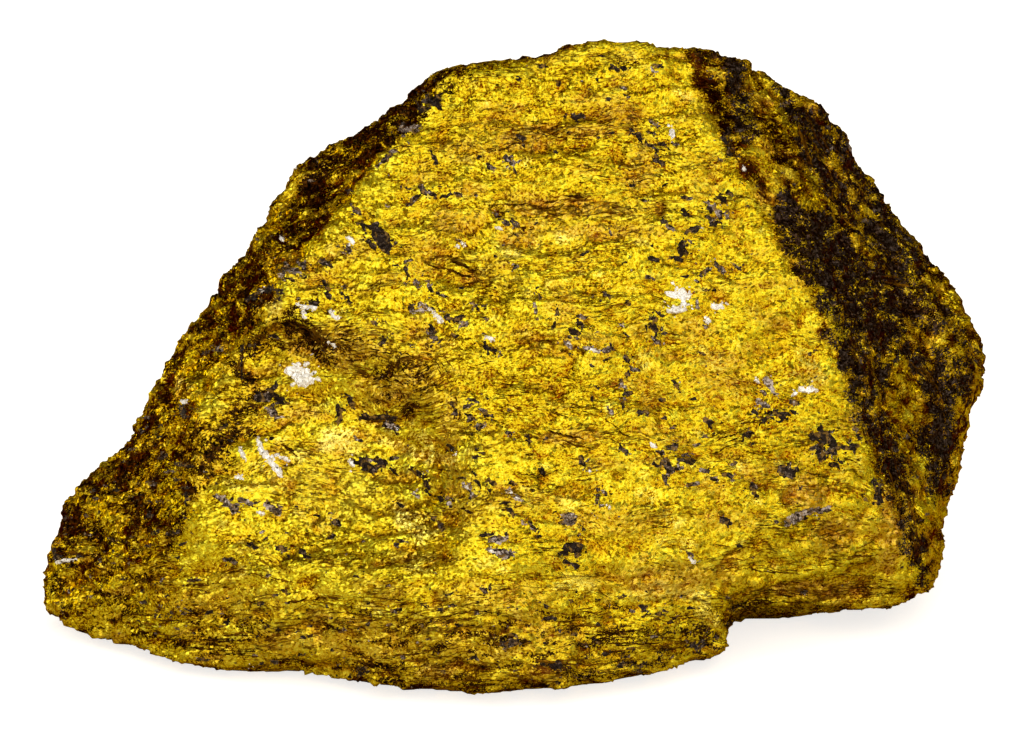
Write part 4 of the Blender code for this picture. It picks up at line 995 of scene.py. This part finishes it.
class Bits:
    """Many small closed solids gathered into one mesh, each with a tone."""

    def __init__(self):
        self.points, self.faces, self.tones = [], [], []

    def add(self, points, faces, tone):
        start = len(self.points)
        self.points.extend(points)
        self.faces.extend([tuple(i + start for i in f) for f in faces])
        self.tones.extend([tone] * len(points))

    def strip(self, points, normals, widths, lift, tone):
        """A thin blade lying on the surface, pointed at both ends."""
        points, normals = np.array(points), np.array(normals)
        run = np.gradient(points, axis=0)
        side = np.cross(run, normals)
        size = np.linalg.norm(side, axis=1)
        if len(points) < 3 or size.min() < 1e-9:
            return
        side /= size[:, None]
        w = np.asarray(widths)[:, None]
        rings = []
        for k in range(1, len(points) - 1):
            rings += [
                points[k] - side[k] * w[k] - normals[k] * 0.02,
                points[k] + normals[k] * lift * w[k],
                points[k] + side[k] * w[k] - normals[k] * 0.02,
                points[k] - normals[k] * 0.10,
            ]
        n = len(points) - 2
        ends = [points[0] - normals[0] * 0.03, points[-1] - normals[-1] * 0.03]
        faces = []
        for k in range(n - 1):
            for i in range(4):
                a, b = 4 * k + i, 4 * k + (i + 1) % 4
                faces.append((a, b, b + 4, a + 4))
        for i in range(4):
            faces.append((4 * n, (i + 1) % 4, i))
            faces.append((4 * n + 1, 4 * (n - 1) + i, 4 * (n - 1) + (i + 1) % 4))
        self.add(rings + ends, faces, tone)

    def plate(self, outline, place, pitch, rise, tone, rng):
        """A grain with broken facets: outline in its own plane, and place(points) puts them on the surface."""
        outline = np.asarray(outline, float)
        low, high = outline.min(0), outline.max(0)
        nx, ny = int((high[0] - low[0]) / pitch) + 1, int((high[1] - low[1]) / pitch) + 1
        inner = []
        for i in range(nx + 1):
            for j in range(ny + 1):
                at = low + np.array([i + (j % 2) * 0.5, j]) * pitch + rng.uniform(-0.28, 0.28, 2) * pitch
                inner.append(at)
        inner = np.array(inner)
        gap = inside_shape(inner[:, 0], inner[:, 1], [tuple(o) for o in outline])
        inner = inner[gap > 0.45 * pitch]
        if len(inner) == 0:
            inner = outline.mean(0)[None]
        flat = [Vector(o) for o in outline] + [Vector(o) for o in inner]
        m = len(outline)
        loops = [(i, (i + 1) % m) for i in range(m)]
        found = delaunay_2d_cdt(flat, loops, [tuple(range(m))], 1, 1e-6)
        verts, faces = np.array([tuple(v) for v in found[0]]), [tuple(f) for f in found[2]]
        if not faces:
            return
        at, normal = place(verts)
        if at is None:
            return
        edge = {}
        for f in faces:
            for a, b in zip(f, f[1:] + f[:1]):
                edge[(a, b)] = True
        rim = [(a, b) for a, b in edge if (b, a) not in edge]
        on_rim = np.zeros(len(verts), bool)
        for a, b in rim:
            on_rim[[a, b]] = True
        up = np.where(on_rim, -0.03, rise * rng.uniform(0.35, 1.5, len(verts)))
        top = at + normal * up[:, None]
        under = at - normal * 0.14
        k = len(verts)
        # the faces must look outwards
        f = faces[0]
        facing = np.cross(at[f[1]] - at[f[0]], at[f[2]] - at[f[0]]) @ normal[f[0]] > 0
        upper = [f if facing else f[::-1] for f in faces]
        lower = [tuple(i + k for i in f[::-1]) for f in upper]
        walls = [(b, a, a + k, b + k) if facing else (a, b, b + k, a + k) for a, b in rim]
        self.add(list(np.vstack([top, under])), upper + lower + walls, tone)

    def build(self, name, material, slot):
        mesh = bpy.data.meshes.new(name)
        held = np.clip(np.array(self.points) * MM, np.array(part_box(NODE)[0]), np.array(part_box(NODE)[1]))  # inside the CAD's box
        mesh.from_pydata(held.tolist(), [], self.faces)
        tone = mesh.attributes.new("tone", "FLOAT", "POINT")
        tone.data.foreach_set("value", np.array(self.tones, np.float32))
        mesh.materials.append(material)
        obj = bpy.data.objects.new(name, mesh)
        bpy.context.scene.collection.objects.link(obj)
        triangles = sum(len(f) - 2 for f in self.faces)
        print("BITS", name, triangles, "triangles")
        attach(obj, "root")
        return obj


def from_view(bvh):
    """Puts points of the picture plane on the surface, with its normals."""

    def place(flat):
        at, normal = [], []
        for x, y in flat:
            ray = FORWARD + (x - 512.0) / VIEW_PX * np.array([1.0, 0, 0]) - (y - 368.0) / VIEW_PX * UPWARD
            hit = bvh.ray_cast(Vector(EYE * MM), Vector(ray).normalized())
            if hit[0] is None:
                return None, None
            at.append(np.array(hit[0]) / MM)
            normal.append(np.array(hit[1]))
        at, normal = np.array(at), np.array(normal)
        depth = at @ FORWARD
        if depth.max() - depth.min() > 9:
            return None, None
        mean = normal.mean(0)
        normal = normal * 0.4 + mean / max(np.linalg.norm(mean), 1e-6) * 0.6
        return at, normal / np.linalg.norm(normal, axis=1)[:, None]

    return place


def from_tangent(bvh, centre, normal, turn):
    """The same for a plane that touches the surface at a point."""
    one = np.cross(normal, BED)
    one /= np.linalg.norm(one)
    two = np.cross(normal, one)
    one, two = one * math.cos(turn) + two * math.sin(turn), two * math.cos(turn) - one * math.sin(turn)

    def place(flat):
        at, normals = [], []
        for x, y in flat:
            start = centre + one * x + two * y + normal * 1.2
            hit = bvh.ray_cast(Vector(start * MM), Vector(-normal), 2.6 * MM)
            if hit[0] is None:
                return None, None
            at.append(np.array(hit[0]) / MM)
            normals.append(np.array(hit[1]))
        normals = np.array(normals) * 0.4 + normal * 0.6
        return np.array(at), normals / np.linalg.norm(normals, axis=1)[:, None]

    return place


def ragged(x0, y0, x1, y1, r, rng, corners=11, rough=0.42):
    """An angular outline round a stroke."""
    long = math.hypot(x1 - x0, y1 - y0)
    corners = int(corners + long / r * 1.6)
    ux, uy = ((x1 - x0) / long, (y1 - y0) / long) if long > 1e-6 else (1.0, 0.0)
    out = []
    turn = rng.uniform(0, 6.28)
    for k in range(corners):
        a = turn + (k + rng.uniform(-0.3, 0.3)) / corners * 2 * math.pi
        reach = r * (1 - rough * rng.uniform(0, 1) ** 1.3 * (1.6 if k % 2 else 0.4))
        cx, cy = math.cos(a), math.sin(a)
        along = (1 if cx > 0 else -1) * long / 2 * min(1.0, abs(cx) * 1.6)
        x, y = along + cx * reach, cy * reach
        out.append(((x0 + x1) / 2 + ux * x - uy * y, (y0 + y1) / 2 + uy * x + ux * y))
    return out


def paint(obj):
    """The wide fields of the material, on the mesh's points."""
    mesh = obj.data
    p = read_points(mesh) / MM
    n = read_normals(mesh)
    ends = edge_ends(mesh)
    bvh = BVHTree.FromObject(obj, bpy.context.evaluated_depsgraph_get())
    here = p + SHIFT

    warp = fbm(here / 6.0, 2, 61) * 0.8
    sway = fbm(here / 2.4, 2, 64) * 0.10
    third = np.cross([1.0, 0, 0], BED)
    third /= np.linalg.norm(third)
    bed = np.stack([here[:, 0] + 0.4 * fbm(here / 4.0, 2, 62), here @ BED + warp + sway, here @ third + 0.4 * fbm(here / 4.0, 2, 63)], 1)

    rust_and_shade = 0.55 * smoothstep(0.10, 0.75, fbm(bed * np.array([0.22, 0.6, 0.22]), 3, 91))
    # the listed patches: rust films, and painted brown shade in the hollow
    for x, y, rx, ry, s in RUST_AND_SHADE_FILMS:
        c = seen_at(bvh, x, y)
        if c is None:
            continue
        away = (p - c) / 0.0852
        reach = np.sqrt((away @ np.array([1.0, 0, 0]) / rx) ** 2 + (away @ UPWARD / ry) ** 2 + (away @ FORWARD / 90.0) ** 2)
        rust_and_shade = np.maximum(rust_and_shade, s * smoothstep(1.25, 0.45, reach + 0.35 * fbm(here / 1.6, 2, 92)))

    # tarnish on the sides that weren't freshly broken, with painted shade: the sides that face away from the front come
    # out darker
    side = relaxed(n, ends, 30)
    side /= np.linalg.norm(side, axis=1)[:, None]
    ray = p - EYE
    depth = ray @ FORWARD
    u, v = 512 + VIEW_PX * ray[:, 0] / depth, 368 - VIEW_PX * (ray @ UPWARD) / depth
    ragged_edge = 1 - 0.6 * smoothstep(672, 700, u) * smoothstep(320, 260, v)  # the bevel's edge is clean
    u = u + ragged_edge * (9 * perlin(here / 1.7, 96) + 5 * perlin(here / 0.6, 106))
    v = v + ragged_edge * (9 * perlin(here / 1.7, 97) + 5 * perlin(here / 0.6, 107))
    lower = smoothstep(560, 640, v)  # the fresh face ends softly at its foot
    fresh = smoothstep(-4 - 29 * lower, 3 + 18 * lower, inside_shape(u, v, FRESH) + lower * 14 * fbm(here / 2.6, 2, 93)) * smoothstep(0.0, 0.25, side @ -FORWARD)
    fresh = np.maximum(fresh, 0)
    # painted light: the listed strokes lift the tarnish and painted side shade of the old faces
    for x0, y0, x1, y1, r, s in PAINTED_LIGHT_STROKES:
        t = np.clip(((u - x0) * (x1 - x0) + (v - y0) * (y1 - y0)) / max((x1 - x0) ** 2 + (y1 - y0) ** 2, 1e-6), 0, 1)
        reach = np.hypot(u - x0 - t * (x1 - x0), v - y0 - t * (y1 - y0)) / r
        fresh = np.maximum(fresh, s * smoothstep(1.3, 0.5, reach + 0.3 * fbm(here / 1.4, 2, 94)) * smoothstep(-0.02, 0.12, side @ -FORWARD))
    cloud = fbm(here / 6.0, 3, 95)
    low = smoothstep(9.0, 5.0, p[:, 2]) * smoothstep(0.2, 0.6, side @ -FORWARD)
    tarnish_and_side_shade = (1 - fresh) * np.clip(0.85 + 0.45 * cloud - 0.45 * low, 0, 1)
    coat_and_shade = 0.85 * smoothstep(0.05, 0.45, fbm(here / 3.6 + 9.0, 3, 98)) * (1 - smoothstep(-0.1, 0.15, side @ -FORWARD))
    torn = fbm(here / 1.5, 3, 99)
    faced = smoothstep(-0.02, 0.12, side @ -FORWARD)
    # the listed strokes: black coating on the old faces, and painted shade in the hollow, under the shoulder and along
    # the low front
    for x0, y0, x1, y1, r, s in COATING_AND_SHADE_STROKES:
        t = np.clip(((u - x0) * (x1 - x0) + (v - y0) * (y1 - y0)) / max((x1 - x0) ** 2 + (y1 - y0) ** 2, 1e-6), 0, 1)
        reach = np.hypot(u - x0 - t * (x1 - x0), v - y0 - t * (y1 - y0)) / r
        amount = smoothstep(1.35, 0.75, reach + 0.55 * torn) * faced
        coat_and_shade = np.maximum(coat_and_shade, s * amount) if s > 0 else coat_and_shade * (1 + s * amount)

    # painted shade: dark streaks along the beds, low on the front and on the left
    streak = fbm(bed * np.array([0.34, 1.7, 0.34]), 3, 108)
    where = faced * np.maximum(smoothstep(588, 632, v), smoothstep(190, 110, u) * smoothstep(430, 480, v))
    coat_and_shade = np.maximum(coat_and_shade, 0.9 * where * smoothstep(0.16, 0.46, streak))

    # painted highlights: pale bright patches where listed, and pale spots over the fresh face
    pale = np.zeros(len(p))
    for x0, y0, x1, y1, r, s in PAINTED_HIGHLIGHTS:
        t = np.clip(((u - x0) * (x1 - x0) + (v - y0) * (y1 - y0)) / max((x1 - x0) ** 2 + (y1 - y0) ** 2, 1e-6), 0, 1)
        reach = np.hypot(u - x0 - t * (x1 - x0), v - y0 - t * (y1 - y0)) / r
        pale = np.maximum(pale, s * smoothstep(1.5, 0.4, reach + 0.4 * torn) * faced)
    pale = np.maximum(pale, 0.5 * smoothstep(0.55, 0.85, fbm(here / 1.3 + 5.0, 2, 109)) * fresh)

    # angular patches of lighter and darker tone, plus painted light and shade over the listed regions, and where the
    # painted parting shadows crowd
    q = bed * np.array([0.9, 1.8, 0.9])
    _, _, own, _ = cells(q + 0.2 * perlin(here / 0.9, 101)[:, None], 102)
    patches_and_painted_light = 0.9 * (unit(own, 2) - 0.5) + 0.55 * fbm(bed * np.array([0.45, 1.0, 0.45]), 2, 103)
    patches_and_painted_light = patches_and_painted_light * (1 - 0.45 * smoothstep(0.1, -0.3, side @ -FORWARD))
    for x, y, rx, ry, s in PAINTED_LIGHT_AND_SHADE:
        patches_and_painted_light = patches_and_painted_light + s * faced * np.exp(-(((u - x) / rx) ** 2) - ((v - y) / ry) ** 2)
    parting_shade = 0.55 * smoothstep(-0.15, 0.5, fbm(bed * np.array([0.16, 0.42, 0.16]), 3, 104))
    for x, y, rx, ry, s in PARTING_SHADOW_ZONES:
        c = seen_at(bvh, x, y)
        if c is None:
            continue
        away = (p - c) / 0.0852
        reach = np.sqrt((away @ np.array([1.0, 0, 0]) / rx) ** 2 + (away @ UPWARD / ry) ** 2 + (away @ FORWARD / 90.0) ** 2)
        parting_shade = np.maximum(parting_shade, s * smoothstep(1.3, 0.5, reach + 0.3 * fbm(here / 1.6, 2, 105)))

    plum = smoothstep(0.25, 0.6, side[:, 0] + 0.3 * cloud)

    # painted shade for the pits and hollows: how far each point sits below its smoothed neighbours
    flat = relaxed(p, ends, 14)
    recess_shade = np.clip(((flat - p) * n).sum(1) / 0.16, -1, 1)
    recess_shade = np.clip(relaxed(np.repeat(recess_shade[:, None], 3, 1), ends, 1)[:, 0], -0.6, 1)

    def store(name, values, kind="FLOAT", key="value"):
        made = mesh.attributes.new(name, kind, "POINT")
        made.data.foreach_set(key, np.ascontiguousarray(values, np.float32).ravel())

    store("bed", bed, "FLOAT_VECTOR", "vector")
    for name, values in (("rust_and_shade", rust_and_shade), ("tarnish_and_side_shade", tarnish_and_side_shade), ("coat_and_shade", coat_and_shade), ("recess_shade", recess_shade), ("patches_and_painted_light", patches_and_painted_light), ("parting_shade", parting_shade), ("pale", pale), ("plum", plum)):
        store(name, values)


def surface_samples(obj, count, rng):
    """Points strewn evenly over a triangle mesh."""
    mesh = obj.data
    p = read_points(mesh) / MM
    corners = np.empty(len(mesh.loops), np.int32)
    mesh.loops.foreach_get("vertex_index", corners)
    tri = corners.reshape(-1, 3)
    a, b, c = p[tri[:, 0]], p[tri[:, 1]], p[tri[:, 2]]
    area = np.linalg.norm(np.cross(b - a, c - a), axis=1)
    pick = np.searchsorted(np.cumsum(area) / area.sum(), rng.random(count))
    s, t = rng.random((2, count, 1))
    s, t = np.where(s + t > 1, 1 - s, s), np.where(s + t > 1, 1 - t, t)
    return a[pick] * (1 - s - t) + b[pick] * s + c[pick] * t


def rounded(n):
    return n / np.maximum(np.linalg.norm(n, axis=-1, keepdims=True), 1e-9)


def add_bits(obj):
    """The dark grains, the quartz, and dark strips of painted shadow along the partings, as small solids on the
    surface.
    """
    rng = np.random.default_rng(7)
    bvh = BVHTree.FromObject(obj, bpy.context.evaluated_depsgraph_get())
    seen = from_view(bvh)
    grains, quartz, parting_shadows = Bits(), Bits(), Bits()

    def broad_normal(at):
        """The lie of the surface round a point."""
        total = np.zeros(3)
        for _, normal, _, _ in bvh.find_nearest_range(Vector(at * MM), 0.9 * MM):
            total += np.array(normal)
        return total / max(np.linalg.norm(total), 1e-9)

    def cluster(bits, x0, y0, x1, y1, r, tone, rise, splinters, rough, stretch=1.0):
        """A grain as the view shows it: a ragged body with splinters that stick out of it and crumbs beside it."""
        long = math.hypot(x1 - x0, y1 - y0)
        bits.plate(ragged(x0, y0, x1, y1, r * 0.92, rng, 10, rough), seen, 2.1, rise, tone, rng)
        for _ in range(int(splinters * (1 + long / (3 * r)))):
            t, a = rng.random(), rng.uniform(0, 2 * math.pi)
            sx, sy = x0 + (x1 - x0) * t + 0.55 * r * math.cos(a), y0 + (y1 - y0) * t + 0.55 * r * math.sin(a)
            a += rng.normal(0, 0.7)
            reach = r * rng.uniform(0.5, 1.1) * stretch
            bits.plate(
                ragged(sx, sy, sx + reach * math.cos(a), sy + reach * math.sin(a), r * rng.uniform(0.22, 0.45), rng, 6, 0.5),
                seen, 2.0, rise, float(np.clip(tone + rng.normal(0, 0.25), 0, 1)), rng,
            )
        for _ in range(2 if r > 4 else 0):
            a, far = rng.uniform(0, 2 * math.pi), r * rng.uniform(1.2, 2.0)
            x, y = (x0 + x1) / 2 + math.cos(a) * (far + abs(x1 - x0) / 2), (y0 + y1) / 2 + math.sin(a) * (far + abs(y1 - y0) / 2)
            bits.plate(ragged(x, y, x + rng.uniform(-3, 3), y + rng.uniform(-2, 2), rng.uniform(1.0, 2.0), rng, 6), seen, 1.9, 0.04, tone * 0.6, rng)

    for x0, y0, x1, y1, r, tone in GRAINS:
        cluster(grains, x0, y0, x1, y1, r * 1.12 + 0.7, tone, 0.055, 4 if r > 4 else 2, 0.50)
    for x0, y0, x1, y1, r in QUARTZ:
        cluster(quartz, x0, y0, x1, y1, r * 1.08 + 0.5, 0.6, 0.09, 5 if r > 4 else 3, 0.40, 0.6)
    # small specks all over the faces that the view shows, and more of them low on the front and on the left
    for k in range(1500):
        x, y = rng.uniform(60, 980), rng.uniform(50, 690)
        if k > 900:
            x, y = (rng.uniform(150, 740), rng.uniform(590, 690)) if k < 1300 else (rng.uniform(50, 200), rng.uniform(400, 620))
        if seen_at(bvh, x, y) is None:
            continue
        r = 1.3 + 2.6 * rng.random() ** 3
        a = rng.uniform(-0.5, 0.5)
        long = rng.uniform(0, 2.8) * r
        grains.plate(ragged(x, y, x + math.cos(a) * long, y + math.sin(a) * long, r, rng, 7), seen, 1.9, 0.03, rng.uniform(0.0, 0.5), rng)
    # grains on the sides that it doesn't show
    for at in surface_samples(obj, 520, rng):
        normal = broad_normal(at)
        if normal @ -FORWARD > 0.12 or at[2] < 0.8 or normal[2] < -0.85:
            continue
        place = from_tangent(bvh, at, normal, rng.uniform(-0.5, 0.5))
        if rng.random() < 0.12:
            r = rng.uniform(0.2, 0.8)
            quartz.plate(ragged(0, 0, r * rng.uniform(0, 1.5), 0, r, rng, 10, 0.3), place, 0.18, 0.10, rng.random(), rng)
        else:
            r = 0.14 + 0.62 * rng.random() ** 2.2
            grains.plate(ragged(0, 0, r * rng.uniform(0, 2.5), 0, r, rng), place, 0.19, 0.05, rng.uniform(0, 0.7), rng)

    # painted shadows of the partings that the view shows, as dark strips along the torn edges
    def strand(points, width, tone):
        flat = smooth_line(points, max(5, int(math.dist(points[0], points[-1]) / 2.6)))
        flat = flat + np.cumsum(rng.normal(0, 0.42, (len(flat), 2)) * np.array([0.2, 1.0]), axis=0) + rng.normal(0, 0.3, (len(flat), 2))
        at, normal = seen(flat)
        if at is None or np.linalg.norm(np.diff(at, axis=0), axis=1).max() > 2.0:
            return
        n = len(at)
        taper = np.sin(np.pi * (np.arange(n) + 0.5) / n) ** 0.6
        parting_shadows.strip(at, normal, width * 0.0852 * taper * rng.uniform(0.4, 1.3, n), 0.55, tone)

    for points, count, spread, width, _ in TEARS:
        pts = np.array(points, float)
        curve = smooth_line(points, 24)
        for _ in range(count):
            long = rng.uniform(0.15, 0.20 + 0.4 * min(1.0, 3 / count))
            begin = rng.uniform(0, 1 - long)
            part = curve[int(begin * 23) : int((begin + long) * 23) + 2]
            if len(part) < 3:
                continue
            run = part[-1] - part[0]
            across = np.array([-run[1], run[0]]) / max(np.hypot(*run), 1e-6)
            part = part + across * rng.normal(0, spread * 0.72)
            strand([tuple(q) for q in part], width * rng.uniform(0.55, 1.2), rng.uniform(0, 1) ** 2.2)
    # short strips of painted shadow everywhere, along the beds
    for at in surface_samples(obj, 1750, rng):
        normal = broad_normal(at)
        if at[2] < 0.6 or normal[2] < -0.85:
            continue
        if rng.random() < 0.5 * smoothstep(0.4, 0.7, normal @ -FORWARD) + 0.5 * smoothstep(0.3, 0.6, normal[0]):
            continue
        line, normals = [], []
        heading = np.cross(normal, BED)
        size = np.linalg.norm(heading)
        if size < 0.15:
            continue
        heading = heading / size * (1 if rng.random() < 0.5 else -1)
        turn = rng.normal(0, 0.16)
        for _ in range(int(rng.uniform(5, 13))):
            hit = bvh.find_nearest(Vector(at * MM), 1.0 * MM)
            if hit[0] is None:
                break
            at, normal = np.array(hit[0]) / MM, rounded(0.5 * np.array(hit[1]) + 0.5 * normal)
            line.append(at)
            normals.append(normal)
            turn += rng.normal(0, 0.07)
            heading = rounded(heading - normal * (heading @ normal))
            step = rounded(heading * math.cos(turn) + np.cross(normal, heading) * math.sin(turn))
            at = at + step * 0.20
        n = len(line)
        if n < 5:
            continue
        taper = np.sin(np.pi * (np.arange(n) + 0.5) / n) ** 0.6
        parting_shadows.strip(line, normals, rng.uniform(0.03, 0.09) * taper, 0.5, rng.uniform(0, 1) ** 1.5)

    made = [
        grains.build("dark_grains", grain_material(), "chalcopyrite"),
        quartz.build("quartz_grains", quartz_material(), "chalcopyrite"),
        parting_shadows.build("parting_shadow_strips", parting_shadow_material(), "chalcopyrite"),
    ]
    return made


stage()
ore = build_stone()
paint(ore)
ore.data.materials.clear()
ore.data.materials.append(ore_material())
ore.name = "ore_surface"
ore.data.shade_smooth()
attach(ore, "root")
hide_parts(NODE)
add_bits(ore)
